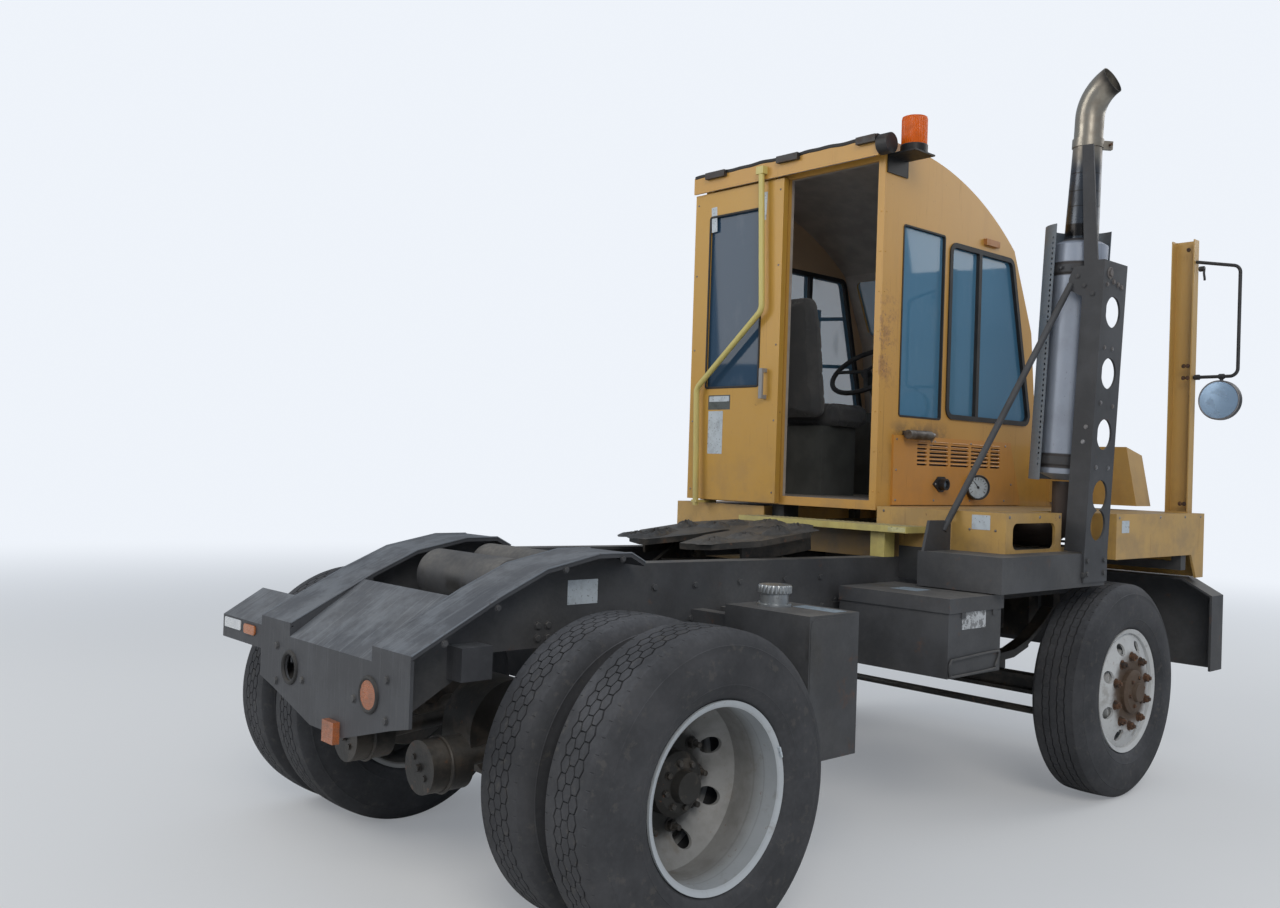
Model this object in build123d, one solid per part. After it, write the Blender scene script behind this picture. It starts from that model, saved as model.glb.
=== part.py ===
"""Terminal tractor with a high side cab, a lifting fifth wheel and an outboard exhaust.

+X is forward, +Y is left and +Z is up, in millimetres. Places along X are measured from the rear axle
while the parts are made, and the finished parts move back so that the origin lies on the ground under
the middle of the vehicle.
"""
from build123d import *
from math import cos, hypot, pi, radians, sin
import os

# Overall places along X, from the rear axle
wheelbase = 2946
tail_x = -720
front_x = 3900
mirror_reach = 1320

# Wheels: 11R22.5 tyres on ten-stud disc wheels
tyre_radius = 520
tyre_width = 279
tyre_tread = 190
tyre_wall = 26
rim_radius = 287
rim_flange = 12
rim_width = 234
rim_wall = 9
disc_offset = 165
front_disc_offset = 128
disc_wall = 12
rear_track_half = 904
front_track_half = 999
hub_radius = 105
bolt_circle = 167
hand_hole_radius = 30
hand_hole_circle = 222
hand_holes = 8
drum_radius = 205
drum_wall = 10
spindle_radius = 45
bearing_gap = 0.5
axle_height = tyre_radius

# Frame rails
frame_half = 432
rail_web = 10
rail_flange = 90
rail_flange_wall = 12
rail_bottom = 890
rail_top_rear = 1170
rail_top_front = 1120
tail_kink_x = -350
tail_bottom = 690

# Pickup ramps on the tail, as the top line of the plate
ramp_plate = 16
ramp_inner = 300
ramp_outer = 540
ramp_leg = 12
ramp_end_x = 250
ramp_line = [  # x, z
    (tail_x, 925),
    (-390, 1093),
    (-200, 1176),
    (30, 1221),
    (180, 1221),
    (ramp_end_x, rail_top_rear + ramp_plate),
]

# Tail deck and rear plate
tail_plate = 12
deck_plate = 10
deck_rear_z = 875
deck_front_x = -430
deck_front_z = 1072
deck_back_z = 905
tail_edge_z = 700
tail_low_z = 590
tail_low_half = 120
lamp_hole_y = 290
lamp_hole_z = 765
lamp_hole_radius = 48
lamp_gap = 0.4
lamp_depth = 12
marker_y = -60
marker_width = 80
marker_z = (566, 640)
marker_depth = 25

# Brackets at the tail
bracket_end_y = 900
bracket_low_z = 800
bracket_top_z = 888
bracket_front = (-560, 985)
bracket_wall = 10
socket_x = (-520, -400)
socket_depth = 88
socket_z = (820, 930)

# Crossmembers between the rail webs
cross_width = 70
cross_height = 80
cross_wall = 8
cross_places = [  # x, z of the underside
    (-130, 905),
    (110, 920),
    (1530, 903),
    (2180, 975),
]
saddle_half = 60
saddle_rise = 36
saddle_y = (150, 190)

# Fifth wheel boom
boom_pivot_x = 1950
boom_pivot_z = 1020
boom_shaft_radius = 35
boom_boss_radius = 70
boom_arm_inner = 235
boom_arm_wall = 25
boom_deck_z = 1112
boom_deck_wall = 14
boom_tail_x = 1010
nod_x = 1250
nod_z = 1150
nod_lug_radius = 38
nod_pin_radius = 20
nod_lug_y = (195, 225)
nod_head = (nod_x - 65, nod_x + 65)
nod_head_z = 1190

# Fifth wheel plate
plate_top_rise = 105
plate_wall = 26
plate_half = 380
plate_front = 330
plate_rear = 400
plate_nose_half = 250
plate_horn_half = 260
plate_skirt = 70
plate_skirt_y = (300, 314)
plate_skirt_half = 230
plate_rib = (226, 240)  # distance ahead of the nod pin
plate_rib_depth = 40
kingpin_radius = 25.5
throat_half = 110
throat_start = 150
plate_tilt = -6

# Lift cylinders
lift_base_x = 1550
lift_base_z = 620
lift_eye_x = 1150
lift_eye_z = 1040
lift_y = 200
lift_barrel_radius = 46
lift_bore_radius = 37
lift_rod_radius = 27
lift_gland = 40
lift_barrel_length = 440
lift_rod_inset = 70
lift_eye_radius = 52
lift_eye_hole = 34
lift_eye_width = 44
lift_pin_radius = 22
lift_tube_radius = 30
lift_ear_y = (150, 165)
hanger_wall = 12
hanger_half = 70

# Rear axle
axle_tube_radius = 62
banjo_radius = 190
banjo_half = 95
pinion_length = 265
pinion_radius = 85
pinion_rise = 40
axle_block_half = 110
axle_block_depth = 80
backing_radius = 200
backing_wall = 8
chamber_x = (-505, -345)
chamber_y = 262
chamber_z = 490
chamber_radius = 92
chamber_arm = 30

# Front axle, steering and springs
kingpin_half = 830
beam_z = (425, 520)
beam_width = 90
beam_web = 22
beam_flange = 20
beam_boss_radius = 45
beam_boss_z = (455, 585)
knuckle_pin_radius = 20
knuckle_ear = 32
knuckle_gap = 1
upright_y = (kingpin_half + 51, kingpin_half + 82)
upright_half = 62
shield_disc_radius = 196
steer_arm_back = 160
steer_arm_half = 26
steer_arm_drop = 34
steer_arm_clear = 6
steer_pin_radius = 12
tie_rod_radius = 18
tie_eye_radius = 28
tie_eye_height = 34
spring_y = (350, 424)
spring_leaf = 14
spring_line = [  # distance from the axle, z of the underside
    (0, 560),
    (150, 568),
    (300, 612),
    (450, 690),
    (600, 800),
]
spring_leaves = [5, 4, 3]  # points of the line that each leaf takes, the longest on top
spring_hanger = 36

# Engine, gearbox, shaft and radiator
engine_x = (2330, 3230)
engine_half = 280
engine_z = (700, 1285)
sump_half = 180
sump_x = (2450, 3100)
sump_drop = 100
engine_foot_x = (2720, 2800)
engine_foot_z = (950, 1010)
gearbox_x = 1900
gearbox_z = 790
gearbox_radius = (190, 110)
shaft_radius = 45
radiator_x = (3420, 3520)
radiator_half = 325
radiator_z = (640, 1300)
radiator_foot_z = (960, 1020)

# Boxes and tanks at the sides
side_out = 1050
oil_tank_x = (576, 860)
oil_tank_in = 640
oil_tank_z = (505, 1025)
oil_cap = (720, -760)
oil_cap_radius = 52
oil_cap_height = 48
battery_x = (1456, 1857)
battery_in = 500
battery_z = (715, 1040)
battery_lid_lip = 8
fuel_tank_x = (640, 1720)
fuel_tank_in = 520
fuel_tank_z = (520, 1010)
fuel_tank_round = 90
fuel_cap_radius = 55
fuel_cap_height = 40
strap_width = 60
strap_wall = 6
air_tank_radius = 100
air_tank_half = 250
air_tank_dome = 36

# Outrigger platform that carries the exhaust
deck_x = 2000
rig_x = (1770, 2700)
rig_out = 1100
rig_z = (1045, 1200)
rig_wall = 10
rig_notch_x = deck_x - 10
rig_notch_y = -683

# Yellow side decks and front fenders
deck_top = 1380
deck_wall = 12
deck_side = 980
deck_cab_gap = 10
fender_x = 2810
fender_front = 3850
fender_side = 1100
fender_low = 1160
stay_x = (3590, 3650)
stay_z = (1080, 1125)
left_stay_x = (2040, 2100)
fender_tip_low = 1035
fender_tip_x = (3690, 3760)
deck_notch_x = (2500, 2740)
deck_notch_y = 790
side_hole_x = 2060
side_hole_z = (1215, 1335)
side_hole_round = 35
left_deck_top = 1345
left_deck_inner = 440

# Front end
bumper_half = 1190
bumper_z = (545, 1030)
bumper_back = 3750
bumper_wall = 12
bumper_chamfer = (160, 85)
grille_x = (3848, 3874)
grille_half = 425
grille_z = (1121, 1292)
grille_slat = 14
grille_slats = 3
grille_frame = 30
headlamp_y = 700
headlamp_size = (200, 110)
headlamp_depth = 45
hinge_x = 3800
hinge_z = 1320
hinge_y = 230
hinge_pin_radius = 16
hinge_ear = 18
hinge_gap = 5.5

# Mirror post and right mirror
post_x = (3700, 3760)
post_y = (-1070, -950)
post_top = 2855
post_wall = 6
mirror_tube_radius = 9
mirror_arm_top = 2690
mirror_arm_low = 2112
mirror_radius = 105
mirror_centre = (3700, -mirror_reach + mirror_radius, 1985)
mirror_depth = 34

# Exhaust group, upright before it leans
lean = 2.5
lean_y = -1100
lean_z = 1200
stack_axis = (2620, -912)
exhaust_post_x = (2470, 2700)
exhaust_post_low = 1065
exhaust_post_top = 2556
exhaust_post_wall = 10
exhaust_flange = 88
gusset_line = [  # distance from the post's plate, z
    (0, 2390),
    (exhaust_flange, 2390),
    (158, 2425),
    (158, 2476),
    (136, 2533),
    (0, 2533),
]
prop_low = 2480
prop_edges = [(16, 84), (122, 176)]  # distance from the post's plate of both edges, at the foot and at the head
prop_wall = 10
prop_gap = 1
post_holes = [1330, 1470, 1755, 2040, 2325]  # z of each lightening hole
post_hole_radius = 72
muffler_radius = 125
muffler_z = (1530, 2680)
muffler_cap = 30
muffler_band = 5
muffler_band_height = 46
muffler_bands = [1600, 2510]
shield_radius = 162
shield_wall = 3
shield_z = (1525, 2740)
shield_angles = (-28, 164)
shield_feet = [0, 68, 136]  # angle of each distance piece
shield_hole = 6.5
shield_hole_pitch = 25
shield_hole_z = (1600, 2675)
shield_columns = [-7, 26, 59, 92, 125, 158]  # angle of each column of holes
stack_radius = (78, 66)
stack_cone_top = 3150
stack_top = 3262
stack_clamp = 3140
clamp_half = 20
clamp_lug_angle = -40
clamp_lug = (45, 24)  # reach, width
tip_bend = 190
tip_angle = 62
pipe_wall = 4
elbow_radius = 55
elbow_z = 1265
elbow_bend = 120
brace_radius = 15
brace_top = (2474, -1006, 2455)
brace_foot = (1936, -705, 1290)
foot_x = (1775, 1985)
foot_z = 1335
foot_wall = 14

# Cab shell
cab_rear = 2000
cab_right = -280
cab_left = 920
cab_floor = 1360
cab_floor_wall = 45
floor_notch = 22
cab_wall = 40
roof_z = 3175
roof_flat_x = 2171
roof_radius = 1718
roof_front_x = 3230
brow = (3440, 2371)
sill = (3511, 1849)
cowl_top = (3700, 1733)
nose_front = (3880, 1690)
nose_right = (-795, -730)  # y at the foot, y at the top
nose_wall = 30
door_way = (-240, 329)
door_way_top = 3075
rear_pane_y = (440, 850)
rear_pane_z = (1985, 2940)
side_pane_x = (2165, 2540)
side_pane_z = (1825, 2788)
slider_x = (2580, 3455)
slider_z = (1835, 2765)
slider_front_top = 3218
slider_round = 60
glass_wall = 8
glass_gap = 0.3
frame_width = 26
frame_proud = 8
pane_round = 18
pane_edge = 9
pane_proud = 3
slider_bar_x = 2873
windscreen_edge = 60
windscreen_side = 70

# Sliding rear door, open at rest
door_gap = 6
door_wall = 35
door_y = (329, 980)
door_z = (1366, 3078)
door_pane_y = (470, 860)
door_pane_z = (1985, 2940)
track_wall = 14
track_z = (3084, 3175)
track_lip = 12
hanger_y = (430, 880)

# Grab rail outside the door
grab_radius = 16
grab_x = 1915
grab_line = [  # y, z
    (457, 3150),
    (424, 2384),
    (892, 1982),
    (871, 1330),
]

# Step behind the cab
step_x = (1830, 1990)
step_y = (-577, 463)
step_z = (1268, 1298)

# Cab side hatch with its louvres
hatch_x = (2120, 3225, 3352)  # rear edge, front edge at the top, front edge at the foot
hatch_z = (1386, 1733)
hatch_proud = 12
louvre_x = (2322, 3113)
louvre_z = (1587, 1707)
louvre_shares = [0.5, 1, 1, 1, 0.55]  # width of each column against a full one
louvre_rows = 6
louvre_slot = 9
louvre_gap = 24

# Inside the cab
seat_centre = (2640, 600)
seat_width = 500
seat_depth = 500
seat_z = (1800, 1930)
seat_back_top = 2560
seat_back_wall = 110
seat_base = 300
dash_x = 3300
dash_z = 1980
dash_lip = 120
column_foot = (3420, 600, 1760)
wheel_centre = (3090, 600, 2135)
wheel_radius = 215
wheel_rim = 15
wheel_hub = 32

# Fittings on the cab's right wall and on the hood behind the roof
gauge_centre = (2855, 1482)  # x, z
gauge_radius = 67
gauge_reach = 55
gauge_turn = 29
gauge_rim = 9
gauge_recess = 8
socket_centre = (2540, 1493)
socket_flange = (75, 40)  # half width, half height
socket_flange_wall = 6
socket_radius = (30, 22)
socket_reach = 38
latch_x = (2186, 2380)
latch_z = 1738
latch_radius = 23
latch_foot = 24
side_lamp_x = (2907, 3042)
side_lamp_z = (2797, 2830)
side_lamp_proud = 20
work_lamp_place = (1958, 3137)  # x, z
work_lamp_radius = 50
work_lamp_reach = 62
hood_lamp_y = [(-276, -160), (211, 354), (729, 874)]
hood_lamp_z = (3149, 3184)
hood_lamp_depth = 24

# Roof lamps and the left mirror
beacon_place = (2095, -375)
beacon_foot = 3105
beacon_radius = 60
beacon_height = 140
beacon_shelf = 8
beacon_shelf_x = (2012, 2180)
beacon_skirt = 90
beacon_cup = 35
left_mirror_x = 3200
left_mirror_y = (mirror_reach - 230, mirror_reach)
left_mirror_z = (2165, 2590)
left_mirror_wall = 35
left_mirror_feet = [(3405, 2225), (3320, 2530)]  # x, z on the front pillar

origin_x = (tail_x - marker_depth + front_x) / 2


from_foot = (Align.CENTER, Align.CENTER, Align.MIN)


def span(pair):
    """Length of a (low, high) pair."""
    return pair[1] - pair[0]


def block(x, y, z):
    """Box between low and high values along each axis."""
    return Pos(sum(x) / 2, sum(y) / 2, sum(z) / 2) * Box(span(x), span(y), span(z))


def side_plate(points, y):
    """Outline of (x, z) points carried from y[0] to y[1]."""
    face = make_face(Polyline(*[(px, y[0], pz) for px, pz in points], close=True))
    return extrude(face, amount=span(y), dir=(0, 1, 0))


def flat_plate(points, z):
    """Outline of (x, y) points carried from z[0] to z[1]."""
    face = make_face(Polyline(*[(px, py, z[0]) for px, py in points], close=True))
    return extrude(face, amount=span(z), dir=(0, 0, 1))


def end_plate(points, x):
    """Outline of (y, z) points carried from x[0] to x[1]."""
    face = make_face(Polyline(*[(x[0], py, pz) for py, pz in points], close=True))
    return extrude(face, amount=span(x), dir=(1, 0, 0))


def rod(start, end, radius):
    """Round bar from start to end."""
    along = Vector(*end) - Vector(*start)
    return Plane(origin=start, z_dir=along) * Cylinder(radius, along.length, align=from_foot)


def cross_bar(x, z, y, radius):
    """Round bar along Y."""
    return rod((x, y[0], z), (x, y[1], z), radius)


def tube_path(points, bend, radius):
    """Round bar bent through the points with one bend radius."""
    path = FilletPolyline(*points, radius=bend)
    start = Plane(origin=points[0], z_dir=Vector(*points[1]) - Vector(*points[0]))
    return sweep(start * Circle(radius), path=path)


def mirrored(shape):
    """The same piece on the other side of the vehicle."""
    return mirror(shape, about=Plane.XZ)


def group(*shapes):
    """Pieces of one node that don't touch."""
    return Compound([solid for shape in shapes for solid in shape.solids()])


def spun(section, x, z, side):
    """Closed (radius, distance from the middle) section turned about the wheel's axis on one side."""
    face = make_face(Polyline(*[(x + r, side * w, z) for r, w in section], close=True))
    return revolve(face, axis=Axis((x, 0, z), (0, 1, 0)))


def ramp_z(x):
    """Height of the ramp's top line at x."""
    for (x0, z0), (x1, z1) in zip(ramp_line, ramp_line[1:]):
        if x0 <= x <= x1:
            return z0 + (z1 - z0) * (x - x0) / (x1 - x0)


def rail_top(x):
    """Height of the rail's top face at x, ahead of the ramp."""
    return rail_top_rear + (rail_top_front - rail_top_rear) * (x - ramp_end_x) / (front_x - ramp_end_x)


def rail(y_side):
    """One channel rail, open towards the middle, with its top following the ramp."""
    start = tail_x + tail_plate
    end = front_x - bumper_wall
    top = [(start, ramp_z(start) - ramp_plate)]
    top += [(x, z - ramp_plate) for x, z in ramp_line[1:]]
    top += [(end, rail_top(end))]
    low = [(end, rail_bottom), (tail_kink_x, rail_bottom), (start, tail_bottom)]
    full = side_plate(top + low, (frame_half - rail_flange, frame_half))
    inner_top = [(x, z - rail_flange_wall) for x, z in top]
    inner_low = [(x, z + rail_flange_wall) for x, z in low]
    inner_top[0] = (start - 1, inner_top[0][1])
    inner_top[-1] = (end + 1, inner_top[-1][1])
    inner_low[0] = (end + 1, inner_low[0][1])
    inner_low[-1] = (start - 1, inner_low[-1][1])
    pocket = side_plate(inner_top + inner_low, (frame_half - rail_flange - 1, frame_half - rail_web))
    channel = full - pocket
    return channel if y_side > 0 else mirrored(channel)


def frame_rails():
    return group(rail(1), rail(-1))


def crossmembers():
    """Box tubes between the webs, the boom's shaft, the cab hinge's beam and the lift cylinders' hangers."""
    inside = frame_half - rail_web
    tubes = []
    for number, (x, low) in enumerate(cross_places):
        half = cross_width / 2
        top = low + cross_height
        tube = block((x - half, x + half), (-inside, inside), (low, top))
        half -= cross_wall
        tube -= block((x - half, x + half), (-inside, inside), (low + cross_wall, top - cross_wall))
        if number < 2:
            for side in (-1, 1):
                y = sorted((side * saddle_y[0], side * saddle_y[1]))
                tube += block((x - saddle_half, x + saddle_half), y, (top, top + saddle_rise))
            span_y = (-air_tank_half, air_tank_half)
            tube -= cross_bar(x, top + air_tank_radius, span_y, air_tank_radius + glass_gap)
        tubes.append(tube)
    shaft = cross_bar(boom_pivot_x, boom_pivot_z, (-inside, inside), boom_shaft_radius)
    hanger = block(
        (lift_base_x - hanger_half, lift_base_x + hanger_half),
        (frame_half, frame_half + hanger_wall),
        (lift_base_z - hanger_half, rail_bottom + hanger_half),
    )
    lift_tube = cross_bar(lift_base_x, lift_base_z, (-frame_half, frame_half), lift_tube_radius)
    return group(*tubes, shaft, hanger + lift_tube + mirrored(hanger))


def cab_hinge():
    """Beam between the rails' front ends with two pairs of ears and their pins."""
    inside = frame_half - rail_web
    top = rail_top_front - rail_flange_wall
    beam = block((hinge_x - 45, hinge_x + 45), (-inside, inside), (top - 70, top))
    hinge = beam
    for side in (-1, 1):
        for step in (-1, 1):
            middle = side * hinge_y + step * (hinge_ear + hinge_gap)
            peak = hinge_z + 24
            ear = side_plate(
                [(hinge_x - 45, top), (hinge_x + 45, top), (hinge_x + 24, peak), (hinge_x - 24, peak)],
                (middle - hinge_ear / 2, middle + hinge_ear / 2),
            )
            hinge += ear
        reach = 1.5 * hinge_ear + hinge_gap
        hinge += cross_bar(hinge_x, hinge_z, (side * hinge_y - reach, side * hinge_y + reach), hinge_pin_radius)
    return hinge


def pickup_ramps():
    """Bent wear plates on the sloped tail of each rail, each with a leg down to the deck."""
    under = [(x, z - ramp_plate) for x, z in ramp_line]
    plate = side_plate(ramp_line + under[::-1], (ramp_inner, ramp_outer))
    start = tail_x + tail_plate
    leg = side_plate(
        [
            (start, tail_bottom + rail_flange),
            (start, ramp_z(start) - ramp_plate),
            (ramp_line[1][0], ramp_line[1][1] - ramp_plate),
            (ramp_line[1][0], deck_back_z),
        ],
        (ramp_inner, ramp_inner + ramp_leg),
    )
    ramp = plate + leg
    return group(ramp, mirrored(ramp))


def tail_deck():
    """Rear plate with two lamp holes, the sloped deck between the ramps and its front wall."""
    foot = deck_rear_z - deck_plate
    rim = ramp_z(tail_x) - ramp_plate
    outline = [
        (ramp_outer, rim),
        (ramp_inner, rim),
        (ramp_inner, deck_rear_z),
        (-ramp_inner, deck_rear_z),
        (-ramp_inner, rim),
        (-ramp_outer, rim),
        (-ramp_outer, tail_edge_z),
        (-frame_half, tail_edge_z - 25),
        (-tail_low_half, tail_low_z),
        (tail_low_half, tail_low_z),
        (frame_half, tail_edge_z - 25),
        (ramp_outer, tail_edge_z),
    ]
    plate = end_plate(outline, (tail_x, tail_x + tail_plate))
    for y in (-lamp_hole_y, lamp_hole_y):
        plate -= rod((tail_x - 1, y, lamp_hole_z), (tail_x + tail_plate + 1, y, lamp_hole_z), lamp_hole_radius)
    front_low = deck_front_z - deck_plate
    deck = side_plate(
        [(tail_x, foot), (tail_x, deck_rear_z), (deck_front_x, deck_front_z), (deck_front_x, front_low)],
        (-ramp_inner, ramp_inner),
    )
    wall = block(
        (deck_front_x - deck_plate, deck_front_x),
        (-ramp_inner, ramp_inner),
        (deck_back_z, front_low),
    )
    return plate + deck + wall


def tail_lamps():
    """Round lamp in the right hole, the left one being gone, and the amber marker under the plate."""
    lamp = rod(
        (tail_x - lamp_depth / 2, -lamp_hole_y, lamp_hole_z),
        (tail_x + lamp_depth, -lamp_hole_y, lamp_hole_z),
        lamp_hole_radius - lamp_gap,
    )
    marker = block(
        (tail_x - marker_depth, tail_x),
        (marker_y - marker_width / 2, marker_y + marker_width / 2),
        marker_z,
    )
    return group(lamp, marker)


def tail_brackets():
    """Left lamp wing outboard of the ramp, and the socket box under the right ramp."""
    wing = side_plate(
        [
            (tail_x, bracket_low_z),
            (tail_x, bracket_top_z),
            bracket_front,
            (bracket_front[0], bracket_front[1] - bracket_wall),
            (tail_x + bracket_wall, bracket_top_z - bracket_wall / 2),
            (tail_x + bracket_wall, bracket_low_z),
        ],
        (ramp_outer, bracket_end_y),
    )
    socket = block(socket_x, (-frame_half - socket_depth, -frame_half), socket_z)
    return group(wing, socket)


def tyre(middle, x, side):
    """One tyre section spun about the axle: bead, sidewall, shoulder and tread."""
    half = tyre_width / 2
    bead = rim_width / 2 - rim_flange
    tread = tyre_tread / 2
    wall = tyre_wall
    belly = rim_radius + 0.45 * (tyre_radius - rim_radius)
    shoulder = tyre_radius - 22
    lip = rim_radius + rim_flange + 3
    right = [  # radius, distance from the middle, outer side first
        (tyre_radius, tread),
        (shoulder, half - 14),
        (belly, half),
        (lip, bead - glass_gap),
        (rim_radius, bead - glass_gap),
        (rim_radius, bead - wall),
        (belly, half - wall),
        (shoulder - wall, half - 14 - wall),
        (tyre_radius - wall - 6, tread - 6),
    ]
    count = 5
    outer, inner = right[:count], right[count:]
    left = [(radius, -away) for radius, away in right]
    loop = outer[::-1] + left[:count] + left[count:] + inner[::-1]
    outline = [(radius, middle + away) for radius, away in loop]
    return spun(outline, x, axle_height, side)


def disc_wheel(middle, disc, x, side):
    """Rim with its two flanges and a dished disc at the given distance from the middle."""
    half = rim_width / 2
    out = rim_radius + rim_flange
    inner = rim_radius - rim_wall
    reach = 1 if disc > middle else -1
    root = middle + reach * (half - rim_flange)
    rim = spun(
        [
            (out, middle - half),
            (out, middle - half + rim_flange - 2),
            (rim_radius, middle - half + rim_flange),
            (rim_radius, middle + half - rim_flange),
            (out, middle + half - rim_flange + 2),
            (out, middle + half),
            (inner, middle + half - rim_wall),
            (inner, middle - half + rim_wall),
        ],
        x,
        axle_height,
        side,
    )
    knee = bolt_circle + 28
    dish = spun(
        [
            (spindle_radius + 20, disc - reach * disc_wall),
            (knee, disc - reach * disc_wall),
            (inner + 1, root - reach * (rim_flange + disc_wall)),
            (inner + 1, root - reach * rim_flange),
            (knee, disc),
            (spindle_radius + 20, disc),
        ],
        x,
        axle_height,
        side,
    )
    for number in range(hand_holes):
        turn = 2 * pi * (number + 0.5) / hand_holes
        hx = x + hand_hole_circle * cos(turn)
        hz = axle_height + hand_hole_circle * sin(turn)
        low = min(disc, root) - 40
        high = max(disc, root) + 40
        dish -= rod((hx, side * low, hz), (hx, side * high, hz), hand_hole_radius)
    return rim + dish


def rear_rims(side):
    """Two disc wheels back to back on one flange."""
    inner_mid = rear_track_half - disc_offset
    outer_mid = rear_track_half + disc_offset
    return disc_wheel(outer_mid, rear_track_half, 0, side) + disc_wheel(inner_mid, rear_track_half, 0, side)


def rear_tyres(side):
    return group(tyre(rear_track_half - disc_offset, 0, side), tyre(rear_track_half + disc_offset, 0, side))


def rear_hub(side):
    """Hub with its flange, brake drum and stepped nose, hollow over the spindle."""
    bore = spindle_radius + bearing_gap
    face = rear_track_half - disc_wall
    drum_open = rear_track_half - disc_offset - 90
    return spun(
        [
            (bore, face - 198),
            (90, face - 198),
            (90, face - 24),
            (drum_radius - drum_wall, face - 24),
            (drum_radius - drum_wall, drum_open),
            (drum_radius, drum_open),
            (drum_radius, face - 12),
            (bolt_circle + 20, face - 12),
            (bolt_circle + 20, face),
            (hub_radius, face),
            (hub_radius, face + 107),
            (hub_radius - 18, face + 122),
            (55, face + 130),
            (50, face + 162),
            (0, face + 162),
            (0, face + 93),
            (bore, face + 93),
        ],
        0,
        axle_height,
        side,
    )


def front_rim(side):
    return disc_wheel(front_track_half, front_track_half + front_disc_offset, wheelbase, side)


def front_hub(side):
    """Hub with its flange and brake drum behind the convex disc."""
    bore = spindle_radius + bearing_gap
    face = front_track_half + front_disc_offset - disc_wall
    drum_open = upright_y[1] + 16
    return spun(
        [
            (bore, drum_open + 20),
            (80, drum_open + 20),
            (80, face - 24),
            (drum_radius - drum_wall, face - 24),
            (drum_radius - drum_wall, drum_open),
            (drum_radius, drum_open),
            (drum_radius, face - 12),
            (bolt_circle + 20, face - 12),
            (bolt_circle + 20, face),
            (hub_radius, face),
            (hub_radius, face + 30),
            (hub_radius - 15, face + 42),
            (48, face + 46),
            (44, face + 62),
            (0, face + 62),
            (0, face + 12),
            (bore, face + 12),
        ],
        wheelbase,
        axle_height,
        side,
    )


def rear_axle():
    """Tube, banjo and pinion nose, with the blocks up to the rails, the backing plates and the chambers."""
    z = axle_height
    face = rear_track_half - disc_wall
    axle = cross_bar(0, z, (0, face - 205), axle_tube_radius)
    axle += cross_bar(0, z, (0, face + 88), spindle_radius)
    axle += cross_bar(0, z, (0, banjo_half), banjo_radius)
    plate_y = rear_track_half - disc_offset - 90 - 12
    axle += cross_bar(0, z, (plate_y - backing_wall, plate_y), backing_radius)
    axle += block(
        (-axle_block_half, axle_block_half),
        (frame_half - axle_block_depth, frame_half),
        (z + 30, rail_bottom),
    )
    axle += rod((chamber_x[0], chamber_y, chamber_z), (chamber_x[1], chamber_y, chamber_z), chamber_radius)
    axle += rod((chamber_x[1] - 1, chamber_y, chamber_z), (0, chamber_y, z), chamber_arm)
    axle += mirrored(axle)
    axle += rod((100, 0, z + pinion_rise), (pinion_length, 0, z + pinion_rise), pinion_radius)
    return axle


def front_axle():
    """I-beam between the kingpin bosses with the seats of the springs."""
    x = wheelbase
    half = beam_width / 2
    beam = block((x - half, x + half), (-kingpin_half, kingpin_half), beam_z)
    for side in (-1, 1):
        edge = sorted((x + side * half, x + side * beam_web / 2))
        web_z = (beam_z[0] + beam_flange, beam_z[1] - beam_flange)
        beam -= block(edge, (-kingpin_half + 60, kingpin_half - 60), web_z)
        y = sorted((side * spring_y[0], side * spring_y[1]))
        beam += block((x - 60, x + 60), y, (beam_z[1] - 1, spring_line[0][1] + 5))
    for side in (-1, 1):
        reach = beam_boss_radius + 4
        clear = sorted((side * (kingpin_half - reach), side * (kingpin_half + reach)))
        beam -= block((x - half - 1, x + half + 1), clear, (beam_z[0] - 1, beam_boss_z[0]))
        boss_foot = (x, side * kingpin_half, beam_boss_z[0])
        boss_top = (x, side * kingpin_half, beam_boss_z[1])
        clear_ring = rod(boss_foot, boss_top, beam_boss_radius + 60)
        clear_ring -= rod(boss_foot, boss_top, beam_boss_radius + 1)
        beam -= clear_ring - block((x - half, x + half), sorted((0, side * kingpin_half)), beam_boss_z)
        beam += rod(boss_foot, boss_top, beam_boss_radius)
    for side in (-1, 1):
        foot = (x, side * kingpin_half, beam_boss_z[0] - 1)
        top = (x, side * kingpin_half, beam_boss_z[1] + 1)
        beam -= rod(foot, top, knuckle_pin_radius + glass_gap)
    return beam


def knuckle(side):
    """Forked knuckle with its kingpin, spindle, backing disc and steering arm with the pin of the tie rod."""
    x = wheelbase
    y = kingpin_half
    low = beam_boss_z[0] - knuckle_gap
    high = beam_boss_z[1] + knuckle_gap
    part = block((x - upright_half, x + upright_half), upright_y, (low - knuckle_ear, high + knuckle_ear))
    for z in ((low - knuckle_ear, low), (high, high + knuckle_ear)):
        part += block((x - beam_boss_radius, x + beam_boss_radius), (y, upright_y[1]), z)
        part += rod((x, y, z[0]), (x, y, z[1]), beam_boss_radius)
    part += rod((x, y, low - 1), (x, y, high + 1), knuckle_pin_radius)
    spindle_end = front_track_half + front_disc_offset - disc_wall + 7
    part += cross_bar(x, axle_height, (upright_y[0], spindle_end), spindle_radius)
    part += cross_bar(x, axle_height, (upright_y[1], upright_y[1] + 8), shield_disc_radius)
    end = x - steer_arm_back
    arm = (low - knuckle_ear - steer_arm_drop, beam_z[0] - steer_arm_clear)
    part += block((end, x), (y - steer_arm_half, y + steer_arm_half), arm)
    part += rod((x, y, arm[0]), (x, y, low - knuckle_ear + 1), beam_boss_radius - 1)
    part += rod((end, y, arm[0]), (end, y, arm[1]), steer_arm_half)
    part += rod((end, y, arm[0] - tie_eye_height - 6), (end, y, arm[1] - 1), steer_pin_radius)
    return part if side > 0 else mirrored(part)


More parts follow.
